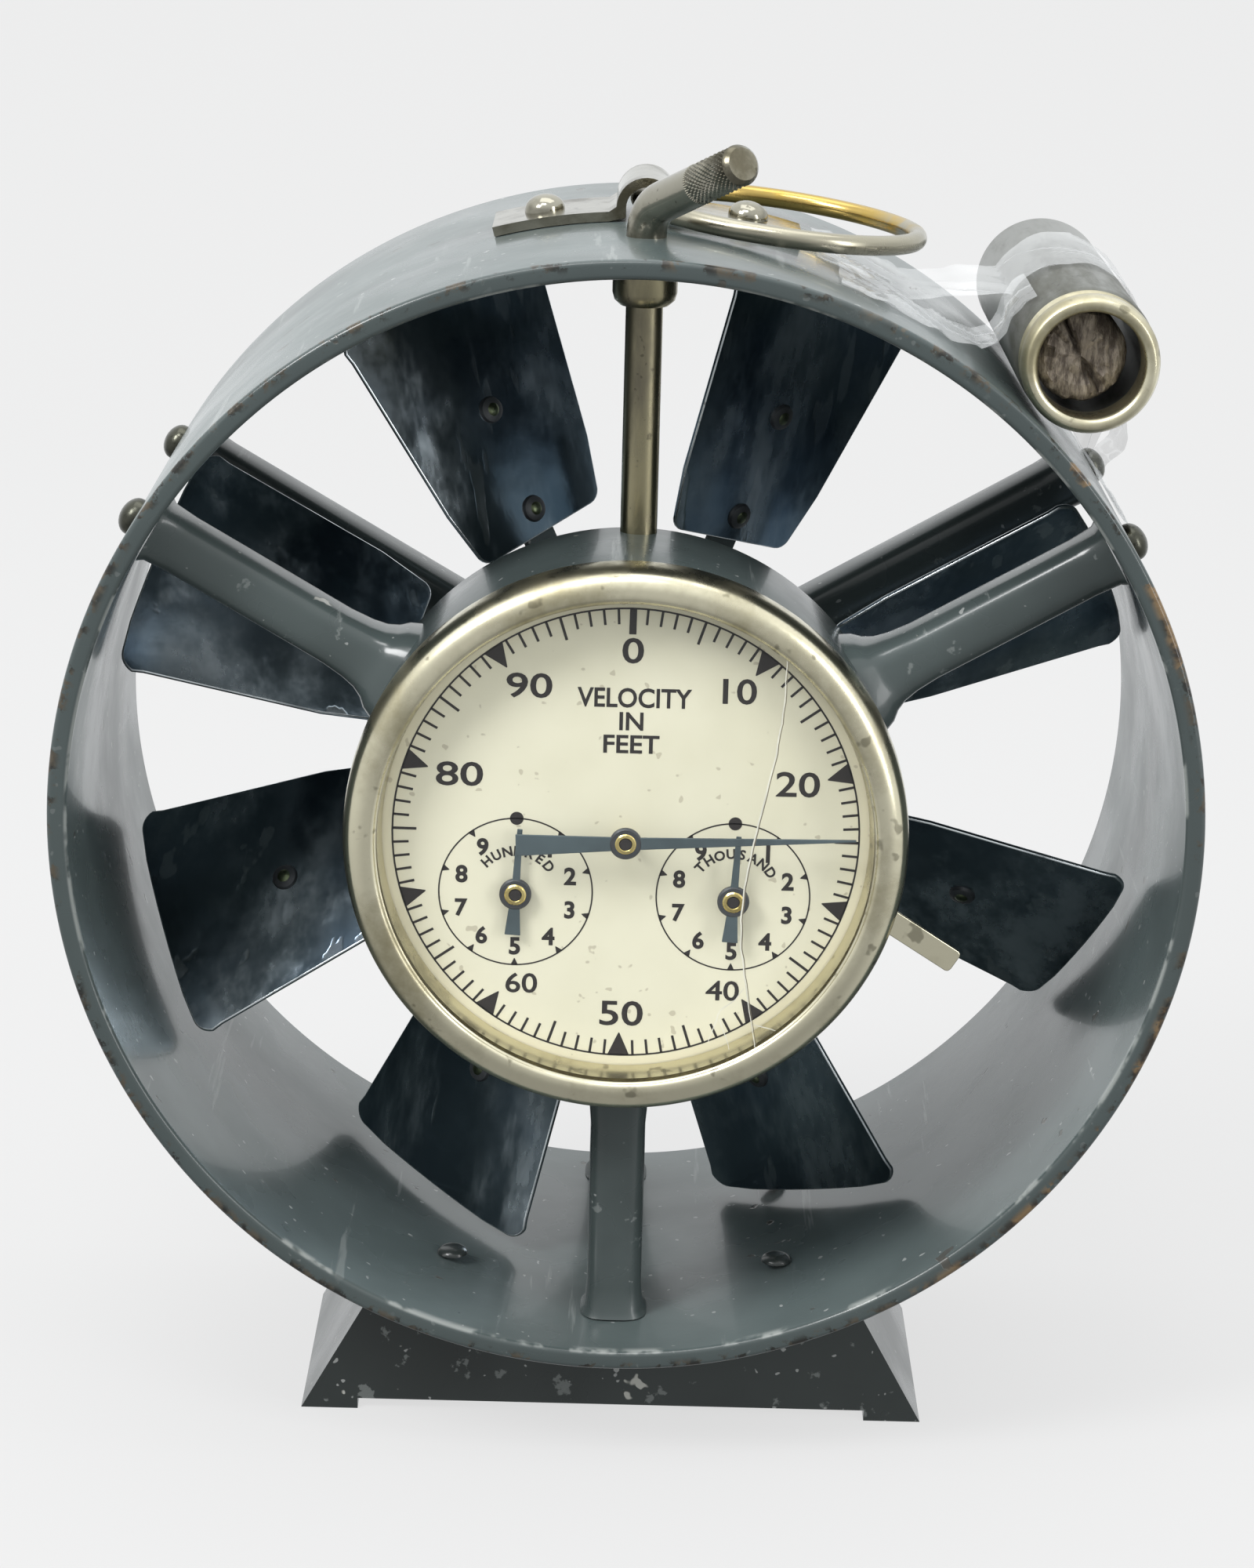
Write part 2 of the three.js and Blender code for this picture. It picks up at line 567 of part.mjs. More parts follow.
// ---- handle ferrule, its collar, the broken stick in it and the tape that holds it ----
function ferrule() {
  const { outer, inner, front, back } = FERRULE;
  return solid(turnedRing([
    [inner, front + 4.2], [outer - 0.35, front + 4.2], [outer - 0.1, front + 4.6], [outer, front + 5.2],
    [outer, back - 0.8], [outer - 0.8, back], [inner, back],
  ], 32));
}
function ferruleCollar() {
  const { outer, mouth, front } = FERRULE;
  return solid(turnedRing([
    [mouth, front + 0.4], [mouth + 0.4, front], [5.9, front + 0.3], [6.35, front + 1.2],
    [6.35, front + 2.2], [6.1, front + 2.7], [outer - 0.1, front + 4.1], [mouth, front + 4.1],
  ], 32));
}
function handleStub() {
  const { radius, front } = STUB;
  const back = FERRULE.back - 3;
  return solid(turned([
    [0, front], [radius * 0.6, front + 0.4], [radius, front + 1.2], [radius, back], [0, back],
  ], 16));
}
function holdingTape() {
  const { thick, front, back } = TAPE;
  const centre = new THREE.Vector2(FERRULE.x, FERRULE.z);
  const place = (middle, radius, degrees) => {
    const [x, z] = onCircle(radius, degrees);
    return new THREE.Vector2(middle.x + x, middle.y + z);
  };
  const origin = new THREE.Vector2();
  const strand = (lift) => {
    const points = [];
    for (let a = 71; a >= 62; a -= 3) points.push(place(origin, RING.outer + 0.06 + lift, a));
    for (let a = 150; a >= -20; a -= 10) points.push(place(centre, FERRULE.outer + 0.06 + lift, a));
    for (let a = 36; a >= 30; a -= 3) points.push(place(origin, RING.outer + 0.06 + lift, a));
    return points;
  };
  const shape = new THREE.Shape([...strand(0), ...strand(thick).reverse()]);
  return solid(plate(shape, front, back - front));
}

// ---- hands ----
function hand({ tip, tail, tipWidth, rootWidth, tailWidth }, from) {
  const outline = outlineOf([
    [0, rootWidth / 2], [tip, tipWidth / 2], [tip, -tipWidth / 2], [0, -rootWidth / 2],
    [-tail, -tailWidth / 2], [-tail, tailWidth / 2],
  ]);
  const arrow = solid(plate(outline, from, HAND_THICK));
  const boss = solid(rod(HAND_HUB, from - 0.15, from + HAND_THICK + 0.1, 20));
  return arrow.add(boss).subtract(solid(rod(0.62, from - 1, from + HAND_THICK + 1, 14)));
}

// ---- assembly ----
const anemometer = new THREE.Group();

mesh('duct_ring', ductRing(), ENAMEL, anemometer);
mesh('base_bracket', baseBracket(), DARK_ENAMEL, anemometer);
baseScrewPlaces().forEach(([x, y], i) => {
  const screw = mesh(`base_screw_${i + 1}`, baseScrew(x), DARK_ENAMEL, anemometer);
  screw.position.set(x, y, 0);
});
mesh('dial_case', dialCase(), ENAMEL, anemometer);
mesh('rear_spider', rearSpider(), DARK_ENAMEL, anemometer);
SPOKE.angles.forEach((angle, i) => {
  mesh(`front_spoke_screw_${i + 1}`, spokeScrew(angle, SPOKE.frontY), BRASS, anemometer);
  mesh(`rear_spoke_screw_${i + 1}`, spokeScrew(angle, SPOKE.rearY), BRASS, anemometer);
});

mesh('dial_bezel', bezel(), CHAMPAGNE, anemometer);
mesh('dial_glass', solid(rod(GLASS.radius, GLASS.front, GLASS.back, 40)), GLASS_FINISH, anemometer);
mesh('dial_plate', dialPlate(), CREAM, anemometer);

// Movement frame.
const frontHoles = [...DIAL_ARBORS.map((at) => [...at, ARBOR_HOLE]), [...START.pivot, 0.7]];
const frontPlate = movementPlate(PLATE.front, PLATE.thick, PLATE.radius, frontHoles);
mesh('front_plate', frontPlate, BRASS, anemometer);
const bridgeHoles = [...DIAL_ARBORS.map((at) => [...at, ARBOR_HOLE]), [...SECOND, ARBOR_HOLE],
  ...PILLAR_HOLES];
const bridge = movementPlate(PLATE.bridge, PLATE.thick, PLATE.radius, bridgeHoles);
mesh('bridge_plate', bridge, BRASS, anemometer);
mesh('back_plate', backPlate(), BRASS, anemometer);
PILLAR.angles.forEach((angle, i) => {
  const post = mesh(`plate_pillar_${i + 1}`, pillar(), BRASS, anemometer);
  const [x, z] = onCircle(PILLAR.at, angle);
  post.position.set(x, 0, z);
});
function shaftBush() {
  const { outer, front, back } = SHAFT_BUSH;
  const bore = WHEEL.shaft + 0.05;
  return solid(turnedRing([[bore, front], [outer, front], [outer, back], [bore, back]], 20));
}
function bearingScrew() {
  const { outer, cup, front, cupEnd, back } = BEARING_SCREW;
  return solid(turned([
    [0, cupEnd], [cup, cupEnd], [cup, front], [outer, front], [outer, back], [0, back],
  ], 16));
}
mesh('front_shaft_bush', shaftBush(), BRASS, anemometer);
mesh('rear_bearing_screw', bearingScrew(), STEEL, anemometer);

// Vane wheel on its shaft.
const wheel = new THREE.Group();
wheel.position.set(0, WHEEL.y, 0);
anemometer.add(wheel);
mesh('vane_spider', vaneSpider(), BLUED, wheel);
for (let i = 0; i < WHEEL.blades; i += 1) {
  const holder = new THREE.Group();
  holder.rotation.y = -radians(WHEEL.firstAngle + i * 360 / WHEEL.blades);
  wheel.add(holder);
  const vane = mesh(`vane_${i + 1}`, blade(), BLUED, holder);
  vane.rotation.x = BLADE_TILT;
}
mesh('vane_shaft', vaneShaft(), STEEL, anemometer);

// Gear train: worm to cross arbor, cross arbor to second arbor, then the three dial arbors.
const MESH_GAP = 0.06;
function crossArbor() {
  const wheelTip = -CROSS.z - 1.45 - MESH_GAP;
  const along = (shape) => shape.rotateZ(-Math.PI / 2);
  const shaft = along(turned([[0, -5], [0.5, -5], [0.5, -3.5], [0.8, -3.3], [0.8, 14], [0.5, 14.1],
    [0.5, 15.6], [0, 15.6]], 10));
  const module = wheelTip / (15 + 0.55);
  const wormWheel = along(gearDisc(30, module, -0.5, 1));
  const secondWorm = along(worm(1.3, 0.25, SECOND[0] - 1.8, SECOND[0] + 1.8, -0.8));
  return union([solid(shaft), solid(wormWheel), solid(secondWorm)]);
}
const cross = new THREE.Group();
cross.position.set(0, CROSS.y, CROSS.z);
anemometer.add(cross);
mesh('cross_arbor', crossArbor(), BRASS, cross);

function arbor(name, at, from, to, parts) {
  const holder = new THREE.Group();
  holder.position.set(at[0], 0, at[1]);
  anemometer.add(holder);
  const staff = solid(turned([[0, from], [0.5, from], [0.5, to], [0, to]], 10));
  mesh(name, union([staff, ...parts]), BRASS, holder);
  return holder;
}
const secondTip = SECOND[1] - CROSS.z - 1.3 - MESH_GAP;
const secondWheel = solid(gearDisc(20, secondTip / (10 + 0.55), CROSS.y - 0.4, 0.8));
arbor('second_arbor', SECOND, PLATE.bridge - 0.3, PLATE.back + 0.5, [
  secondWheel, gear(30, FINE, LAYER.d, bearing(SECOND, CENTRE))]);
arbor('centre_arbor', CENTRE, -2.02, 8.2, [
  gear(30, FINE, LAYER.d, bearing(CENTRE, SECOND), true),
  gear(8, FINE, LAYER.a, bearing(CENTRE, IDLER_A))]);
arbor('idler_arbor_a', IDLER_A, PLATE.front + 0.05, PLATE.bridge + 0.5, [
  gear(32, FINE, LAYER.a, bearing(IDLER_A, CENTRE), true),
  gear(12, FINE, LAYER.b, bearing(IDLER_A, HUNDREDS))]);
arbor('hundreds_arbor', HUNDREDS, -0.15, PLATE.bridge + 0.5, [
  gear(30, FINE, LAYER.b, bearing(HUNDREDS, IDLER_A), true),
  gear(8, COARSE, LAYER.c, bearing(HUNDREDS, IDLER_B))]);
arbor('idler_arbor_b', IDLER_B, PLATE.front + 0.05, PLATE.bridge + 0.5, [
  gear(32, COARSE, LAYER.c, bearing(IDLER_B, HUNDREDS), true),
  gear(12, COARSE, LAYER.b, bearing(IDLER_B, THOUSANDS))]);
arbor('thousands_arbor', THOUSANDS, -0.75, PLATE.bridge + 0.5, [
  gear(30, COARSE, LAYER.b, bearing(THOUSANDS, IDLER_B), true)]);

const mainHand = mesh('main_hand', hand(MAIN_HAND, MAIN_HAND.y), HAND, anemometer);
mainHand.rotation.y = -radians(MAIN_HAND.turn);
for (const [name, at] of [['hundreds', HUNDREDS], ['thousands', THOUSANDS]]) {
  const small = mesh(`${name}_hand`, hand(SMALL_HAND, SMALL_HAND_Y[name]), HAND, anemometer);
  small.position.set(at[0], 0, at[1]);
  small.rotation.y = -radians(SMALL_HAND.turn);
}

// Start and stop lever, its pivot screw and spring.
const startLever = new THREE.Group();
startLever.position.set(START.pivot[0], 0, START.pivot[1]);
startLever.rotation.y = -radians(START.angle);
anemometer.add(startLever);
const strip = outlineOf([
  [0, -START.halfWidth], [START.tip - 0.4, -START.halfWidth], [START.tip, 0.4 - START.halfWidth],
  [START.tip, START.halfWidth - 0.4], [START.tip - 0.4, START.halfWidth], [0, START.halfWidth]]);
const stripBody = solid(plate(strip, START.y, START.thick))
  .add(solid(rod(1.5, START.y, START.y + START.thick, 18)))
  .subtract(solid(rod(0.75, START.y - 1, START.y + 2, 14)));
mesh('start_lever', stripBody, CHAMPAGNE, startLever);
const pivotScrew = mesh('lever_pivot_screw', solid(turned([
  [0, 2.15], [0.65, 2.15], [0.65, 4], [1.3, 4], [1.3, 4.5], [0, 4.5]], 14)), STEEL, anemometer);
pivotScrew.position.set(START.pivot[0], 0, START.pivot[1]);
mesh('lever_spring', solid(box(15.2, 19, 2.8, 3.6, -2.6, -2.3)
  ).add(solid(box(14.6, 15.3, 2.75, 3.6, -3.1, -1.8))), STEEL, anemometer);

// Top fittings.
mesh('reset_tube', resetTube(), BRASS, anemometer);
mesh('tube_collar', tubeCollar(), BRASS, anemometer);
const resetPiece = mesh('reset_lever', resetLever(), NICKEL, anemometer);
resetPiece.position.set(TOP.x, TOP.stemY, 0);
mesh('reset_spring', resetSpring(), STEEL, anemometer);
mesh('hanger_bracket', hangerBracket(), NICKEL, anemometer);
mesh('hanger_rivet_left', hangerRivet(-1), NICKEL, anemometer);
mesh('hanger_rivet_right', hangerRivet(1), NICKEL, anemometer);
const loop = mesh('hanging_ring', hangingRing(), NICKEL, anemometer);
loop.position.set(LOOP.pivotX, HANGER.y, LOOP.pivotZ);
loop.rotation.y = radians(LOOP.droop);

// Ferrule group beside the ring.
const handle = new THREE.Group();
handle.position.set(FERRULE.x, 0, FERRULE.z);
anemometer.add(handle);
mesh('handle_ferrule', ferrule(), GREY_TUBE, handle);
mesh('ferrule_collar', ferruleCollar(), CHAMPAGNE, handle);
const stub = mesh('handle_stub', handleStub(), WOOD, handle);
stub.position.set(STUB.dx, 0, STUB.dz);
mesh('holding_tape', holdingTape(), FILM, anemometer);

// Stand the instrument on its feet, centred over the origin.
const middleY = (BEZEL.crestY + RING.depth) / 2;
anemometer.position.set(0, -middleY, -BASE.bottom);
export default anemometer;
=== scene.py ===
"""Vane anemometer: fine surfaces, printed dial, materials, light and camera over the CAD frame."""
import math
from math import cos, radians, sin

import bpy
from mathutils import Matrix, Vector, noise


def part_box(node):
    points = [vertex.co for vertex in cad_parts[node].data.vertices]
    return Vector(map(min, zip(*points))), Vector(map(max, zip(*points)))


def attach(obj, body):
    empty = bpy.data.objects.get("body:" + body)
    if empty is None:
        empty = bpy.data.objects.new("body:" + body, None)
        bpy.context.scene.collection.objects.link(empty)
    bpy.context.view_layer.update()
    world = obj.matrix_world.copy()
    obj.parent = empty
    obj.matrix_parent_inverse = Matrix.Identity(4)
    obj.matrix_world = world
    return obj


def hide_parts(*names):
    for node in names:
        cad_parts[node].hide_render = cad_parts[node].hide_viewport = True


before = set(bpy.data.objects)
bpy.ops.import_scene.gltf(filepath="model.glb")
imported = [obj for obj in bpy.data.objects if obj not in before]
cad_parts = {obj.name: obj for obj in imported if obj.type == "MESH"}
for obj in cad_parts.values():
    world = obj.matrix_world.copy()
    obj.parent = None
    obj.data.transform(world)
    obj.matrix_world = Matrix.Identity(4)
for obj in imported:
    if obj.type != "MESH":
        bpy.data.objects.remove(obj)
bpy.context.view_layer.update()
scene = bpy.context.scene
scene.view_settings.view_transform = "Standard"

# ---- frame of reference: the duct's axis at the plane of its front rim ----
MM = 0.001
ring_low, ring_high = (Vector(corner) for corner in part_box("duct_ring"))
AXIS = Vector(((ring_low.x + ring_high.x) / 2, ring_low.y, (ring_low.z + ring_high.z) / 2))
TAU = 2 * math.pi

# ---- dimensions in millimetres, from that reference ----
RING_OUTER, RING_INNER, RING_DEPTH, RING_EDGE = 54, 52.15, 52.5, 0.5
CASE_OUTER, CASE_FRONT, CASE_BACK = 26, 1.3, 17.4
SPOKE_ANGLES = (30, 150, 270)
FRONT_SPOKE_Y, REAR_SPOKE_Y = 10.8, 46.5
SPOKE_WIDE, SPOKE_DEEP = 2.7, 3.2
SPOKE_END = 51.95
HEAD_SEAT = 53.9  # the screw heads start just inside the ring's outer face
DIAL_Y, DIAL_RADIUS = 0.95, 24.3
PRINT_Y = DIAL_Y - 0.02
TRACK_RADIUS = 21.8
SUB_X, SUB_Z, SUB_RADIUS = 10.2, -5.8, 7.2
GLASS_FRONT, GLASS_BACK, GLASS_RADIUS = -2.87, -2.12, 23.6
CRACK_Y = GLASS_FRONT - 0.016
HAND_THICK, BUSH_HOLE = 0.22, 0.53
WHEEL_Y, FIRST_VANE, VANES, VANE_PITCH = 29.6, 24.15, 8, -41.4
VANE_MIDDLE, VANE_INNER, VANE_OUTER, VANE_THICK = -1, 23.9, 50.6, 0.5
VANE_NARROW, VANE_WIDE = 16, 25.9  # widths at radius 20 and at radius 50
RIVET_REACHES, RIVET_RADIUS, RIVET_SIDES = (26.5, 37.2), 1.35, 28
TUBE_X, TUBE_Y, TUBE_BORE, TUBE_RADIUS = 0.5, 14.9, 1.3, 1.75
LEVER_RADIUS, KNURL_ROOT = 1.9, 1.68
HANGER_X, HANGER_Y = 0.5, 29
LOOP_RADIUS, LOOP_WIRE, LOOP_DROOP = 13.5, 0.95, 6.7
FERRULE_X, FERRULE_Z, FERRULE_RADIUS = 41.05, 45.1, 6.45
STUB_RADIUS, STUB_BREAK = 4.3, 9  # the break reaches this far back
BASE_SCREW_X, BASE_SCREW_Y = (-16.3, 16.3), (16.2, 36.5)
ON_AXIS = 0.001  # radius at which a turned profile closes
CAMERA_PLACE = (-0.917, -346.176, 106.573)
CAMERA_DOWN, CAMERA_TURN, CAMERA_ROLL, CAMERA_LENS = 16.31, 0.15, 1.49, 111.62


def at(x, y, z):
    """A point measured in millimetres from the duct's front centre, in the row frame."""
    return AXIS + Vector((x, y, z)) * MM


def polar(radius, degrees, y=0.0):
    """A point at an angle in the dial's plane, counter-clockwise from its right."""
    return (radius * cos(radians(degrees)), y, radius * sin(radians(degrees)))


def lerp(a, b, t):
    return a + (b - a) * t


def around(count):
    """The angles of a full turn, in radians."""
    return [k * TAU / count for k in range(count)]


# ---- node materials ----
class Paint:
    """A Principled material with short helpers for procedural masks in object space."""

    def __init__(self, name, color, roughness, metallic=0.0, coat=0.0):
        self.material = bpy.data.materials.new(name)
        self.material.use_nodes = True
        self.tree = self.material.node_tree
        self.shader = self.tree.nodes["Principled BSDF"]
        self.set("Base Color", (*color, 1))
        self.set("Roughness", roughness)
        self.set("Metallic", metallic)
        self.set("Coat Weight", coat)
        self.set("Coat Roughness", 0.12)
        self.where = self.node("ShaderNodeTexCoord").outputs["Object"]
        self.height = None

    def node(self, kind, **settings):
        made = self.tree.nodes.new(kind)
        for key, value in settings.items():
            setattr(made, key, value)
        return made

    def set(self, socket, value):
        self.feed(self.shader, socket, value)

    def feed(self, node, index, value):
        """Gives any node's input a constant or a link."""
        if isinstance(value, bpy.types.NodeSocket):
            self.tree.links.new(value, node.inputs[index])
        else:
            node.inputs[index].default_value = value

    def math(self, operation, a, b=0.0):
        made = self.node("ShaderNodeMath", operation=operation)
        self.feed(made, 0, a)
        self.feed(made, 1, b)
        return made.outputs[0]

    def times(self, a, b):
        return self.math("MULTIPLY", a, b)

    def space(self, stretch=(1, 1, 1), turn=(0, 0, 0)):
        made = self.node("ShaderNodeMapping")
        self.tree.links.new(self.where, made.inputs["Vector"])
        self.feed(made, "Scale", stretch)
        self.feed(made, "Rotation", [radians(angle) for angle in turn])
        return made.outputs[0]

    def noise(self, scale, detail=4.0, rough=0.55, stretch=(1, 1, 1), turn=(0, 0, 0)):
        made = self.node("ShaderNodeTexNoise")
        self.feed(made, "Vector", self.space(stretch, turn))
        self.feed(made, "Scale", scale)
        self.feed(made, "Detail", detail)
        self.feed(made, "Roughness", rough)
        return made.outputs[0]

    def ramp(self, value, low, high, start=0.0, end=1.0):
        made = self.node("ShaderNodeMapRange", interpolation_type="SMOOTHSTEP")
        self.feed(made, "Value", value)
        limits = {"From Min": low, "From Max": high, "To Min": start, "To Max": end}
        for name, number in limits.items():
            self.feed(made, name, number)
        return made.outputs[0]

    def mix(self, factor, a, b):
        made = self.node("ShaderNodeMix", data_type="RGBA")
        self.feed(made, 0, factor)
        self.feed(made, 6, a if isinstance(a, bpy.types.NodeSocket) else (*a, 1))
        self.feed(made, 7, b if isinstance(b, bpy.types.NodeSocket) else (*b, 1))
        return made.outputs[2]

    def place(self):
        """x, y, z and distance from the duct's axis, in metres, as sockets."""
        parts = self.node("ShaderNodeSeparateXYZ")
        self.tree.links.new(self.where, parts.inputs[0])
        x, y, z = parts.outputs
        rise = self.math("SUBTRACT", z, AXIS.z)
        square = self.math("ADD", self.times(x, x), self.times(rise, rise))
        return x, y, z, self.math("SQRT", square)

    def bump(self, height, distance, strength=0.6):
        made = self.node("ShaderNodeBump")
        self.feed(made, "Strength", strength)
        self.feed(made, "Distance", distance)
        self.feed(made, "Height", height)
        if self.height is not None:
            self.feed(made, "Normal", self.height)
        self.height = made.outputs[0]
        self.set("Normal", self.height)


def enamel(name, color, chips=0.66, rim=False):
    """Slate-grey enamel: mottling, orange peel, dust specks, fine scratches and chips; on the rim, painted
    shade over the front face and painted highlights along its inner edge.
    """
    paint = Paint(name, color, 0.2, 0.0, 0.18)
    paint.set("Coat Roughness", 0.06)
    paint.set("Specular IOR Level", 0.36)
    dark = tuple(c * 0.8 for c in color)
    light = tuple(min(1, c * 1.16) for c in color)
    tone = paint.mix(paint.ramp(paint.noise(38), 0.35, 0.68), dark, light)
    speck = paint.ramp(paint.noise(950, 1), 0.74, 0.77)
    tone = paint.mix(paint.times(speck, 0.5), tone, (0.42, 0.43, 0.42))
    scratch = paint.ramp(paint.noise(420, 4, 0.6, (1, 0.06, 1), (24, 0, 31)), 0.63, 0.68)
    tone = paint.mix(paint.times(scratch, 0.3), tone, (0.3, 0.32, 0.31))
    blot = paint.ramp(paint.noise(230, 3), chips, chips + 0.02)
    if rim:
        x, y, _, radius = paint.place()
        front = paint.math("SUBTRACT", y, AXIS.y)
        # painted shade: the rim's front face is darkened
        face = paint.ramp(front, 0.0001, 0.0005, 0.8, 0)
        tone = paint.mix(face, tone, tuple(c * 0.55 for c in color))
        near = paint.ramp(front, 0.0003, 0.0013, 1, 0)
        outer = paint.ramp(radius, 0.0528, 0.0537)
        inner = paint.ramp(radius, 0.0522, 0.0525, 1, 0)
        fine = paint.ramp(paint.noise(430, 5, 0.7), 0.525, 0.565)
        broad = paint.ramp(paint.noise(95, 5, 0.7), 0.51, 0.535)
        right = paint.times(paint.ramp(x, 0.012, 0.045), outer)
        edge = paint.times(paint.times(near, fine), outer)
        patch = paint.times(paint.times(near, broad), right)
        flakes = paint.ramp(paint.noise(520), 0.42, 0.6)
        rust = paint.mix(flakes, (0.022, 0.017, 0.012), (0.16, 0.105, 0.052))
        grime = paint.ramp(paint.noise(620), 0.4, 0.6)
        soot = paint.mix(grime, (0.012, 0.012, 0.01), (0.06, 0.05, 0.035))
        tone = paint.mix(edge, tone, soot)
        tone = paint.mix(patch, tone, rust)
        # painted highlight: pale flecks along the inner edge of the rim's front face
        painted_glint = paint.times(inner, paint.ramp(paint.noise(140, 4, 0.6), 0.5, 0.58))
        painted_glint = paint.times(painted_glint, near)
        tone = paint.mix(paint.times(painted_glint, 0.5), tone, (0.42, 0.44, 0.42))
        tone = paint.mix(paint.times(blot, 0.6), tone, (0.05, 0.04, 0.03))
    else:
        tone = paint.mix(blot, tone, (0.34, 0.34, 0.31))
    paint.set("Base Color", tone)
    paint.set("Roughness", paint.ramp(paint.noise(60), 0.3, 0.7, 0.2, 0.36))
    paint.bump(paint.noise(700, 2), 0.00006, 0.2)
    paint.bump(blot, -0.00008, 0.6)
    return paint.material


def worn_metal(name, color, stain, roughness, scale=90, metallic=1.0, streak=(1, 1, 1)):
    """Plated or bare metal: tarnish in patches, fine scratches and a slightly uneven polish."""
    paint = Paint(name, color, roughness, metallic)
    patch = paint.ramp(paint.noise(scale, 6, 0.62, streak), 0.42, 0.7)
    spots = paint.ramp(paint.noise(scale * 7, 2), 0.64, 0.72)
    tone = paint.mix(patch, color, stain)
    tone = paint.mix(paint.times(spots, 0.55), tone, tuple(c * 0.35 for c in stain))
    paint.set("Base Color", tone)
    paint.set("Roughness", paint.ramp(patch, 0, 1, roughness * 0.8, roughness * 1.6))
    paint.bump(paint.noise(scale * 12, 3, 0.6, streak), 0.00003, 0.35)
    return paint.material


def blued_steel(name):
    """Blue-black polished sheet with cloudy pale bloom and hairline scratches."""
    paint = Paint(name, (0.2, 0.25, 0.28), 0.2, 1.0)
    cloud = paint.ramp(paint.noise(42, 7, 0.66, (1.2, 1, 0.8)), 0.42, 0.72)
    streak = paint.ramp(paint.noise(80, 5, 0.7, (1, 1, 0.22), (0, 38, 0)), 0.46, 0.68)
    tone = paint.mix(cloud, (0.15, 0.195, 0.23), (0.36, 0.41, 0.44))
    tone = paint.mix(paint.times(streak, 0.75), tone, (0.52, 0.58, 0.62))
    scratch = paint.ramp(paint.noise(300, 3, 0.5, (1, 1, 0.03), (0, 24, 0)), 0.62, 0.66)
    tone = paint.mix(paint.times(scratch, 0.35), tone, (0.62, 0.65, 0.66))
    tint = paint.ramp(paint.noise(33, 3), 0.5, 0.7)
    tone = paint.mix(paint.times(tint, 0.45), tone, (0.10, 0.19, 0.33))
    paint.set("Base Color", tone)
    rough = paint.math("ADD", paint.ramp(cloud, 0, 1, 0.14, 0.3), paint.times(streak, 0.2))
    paint.set("Roughness", rough)
    paint.bump(paint.noise(45, 3), 0.0012, 0.3)
    paint.bump(paint.noise(420, 3), 0.00005, 0.3)
    paint.bump(scratch, -0.00002, 0.4)
    return paint.material


def cream_paper(name):
    """Cream card, fogged in patches and browner towards its edge."""
    paint = Paint(name, (0.76, 0.73, 0.58), 0.55)
    radius = paint.place()[3]
    age = paint.ramp(radius, 0.0205, 0.0235)
    fog = paint.ramp(paint.noise(70, 5), 0.35, 0.75)
    tone = paint.mix(fog, (0.68, 0.66, 0.51), (0.62, 0.60, 0.45))
    tone = paint.mix(paint.times(age, 0.5), tone, (0.55, 0.49, 0.32))
    specks = paint.ramp(paint.noise(900, 1), 0.72, 0.75)
    paint.set("Base Color", paint.mix(paint.times(specks, 0.5), tone, (0.3, 0.26, 0.18)))
    return paint.material


def see_through(name, mirror, haze):
    """Thin clear layer: mostly transparent, a fixed share of mirror and of white haze."""
    material = bpy.data.materials.new(name)
    material.use_nodes = True
    tree = material.node_tree
    tree.nodes.clear()
    out = tree.nodes.new("ShaderNodeOutputMaterial")
    clear = tree.nodes.new("ShaderNodeBsdfTransparent")
    gloss = tree.nodes.new("ShaderNodeBsdfGlossy")
    gloss.inputs["Roughness"].default_value = 0.04
    milk = tree.nodes.new("ShaderNodeBsdfDiffuse")
    milk.inputs["Color"].default_value = (0.9, 0.92, 0.93, 1)
    first = tree.nodes.new("ShaderNodeMixShader")
    first.inputs[0].default_value = haze
    second = tree.nodes.new("ShaderNodeMixShader")
    second.inputs[0].default_value = mirror
    links = ((clear, first, 1), (milk, first, 2), (first, second, 1), (gloss, second, 2), (second, out, 0))
    for source, target, socket in links:
        tree.links.new(source.outputs[0], target.inputs[socket])
    return material


def plain(name, color, roughness, metallic=0.0):
    """One colour with a faint unevenness."""
    paint = Paint(name, color, roughness, metallic)
    tone = paint.mix(paint.ramp(paint.noise(300, 3), 0.3, 0.7), color, tuple(c * 0.75 for c in color))
    paint.set("Base Color", tone)
    return paint.material


def loop_metal(name):
    """Nickel plate on the near side of the loop, worn to yellow brass at the back."""
    paint = Paint(name, (0.6, 0.57, 0.5), 0.25, 1.0)
    y = paint.place()[1]
    back = paint.ramp(y, AXIS.y + 0.027, AXIS.y + 0.034)
    patch = paint.ramp(paint.noise(220, 4), 0.38, 0.6)
    worn = paint.times(back, patch)
    worn = paint.math("MAXIMUM", worn, paint.ramp(y, AXIS.y + 0.033, AXIS.y + 0.038, 0, 0.9))
    paint.set("Base Color", paint.mix(worn, (0.34, 0.32, 0.25), (0.46, 0.32, 0.085)))
    paint.set("Roughness", paint.ramp(paint.noise(300), 0.3, 0.7, 0.18, 0.34))
    return paint.material


def old_wood(name):
    """Grey weathered wood with raised fibres."""
    paint = Paint(name, (0.2, 0.14, 0.1), 0.85)
    fibre = paint.noise(1100, 5, 0.7, (1, 0.3, 0.25), (0, -28, 0))
    tone = paint.mix(paint.ramp(fibre, 0.38, 0.62), (0.1, 0.08, 0.065), (0.36, 0.31, 0.25))
    paint.set("Base Color", tone)
    paint.bump(fibre, 0.0006, 0.9)
    return paint.material


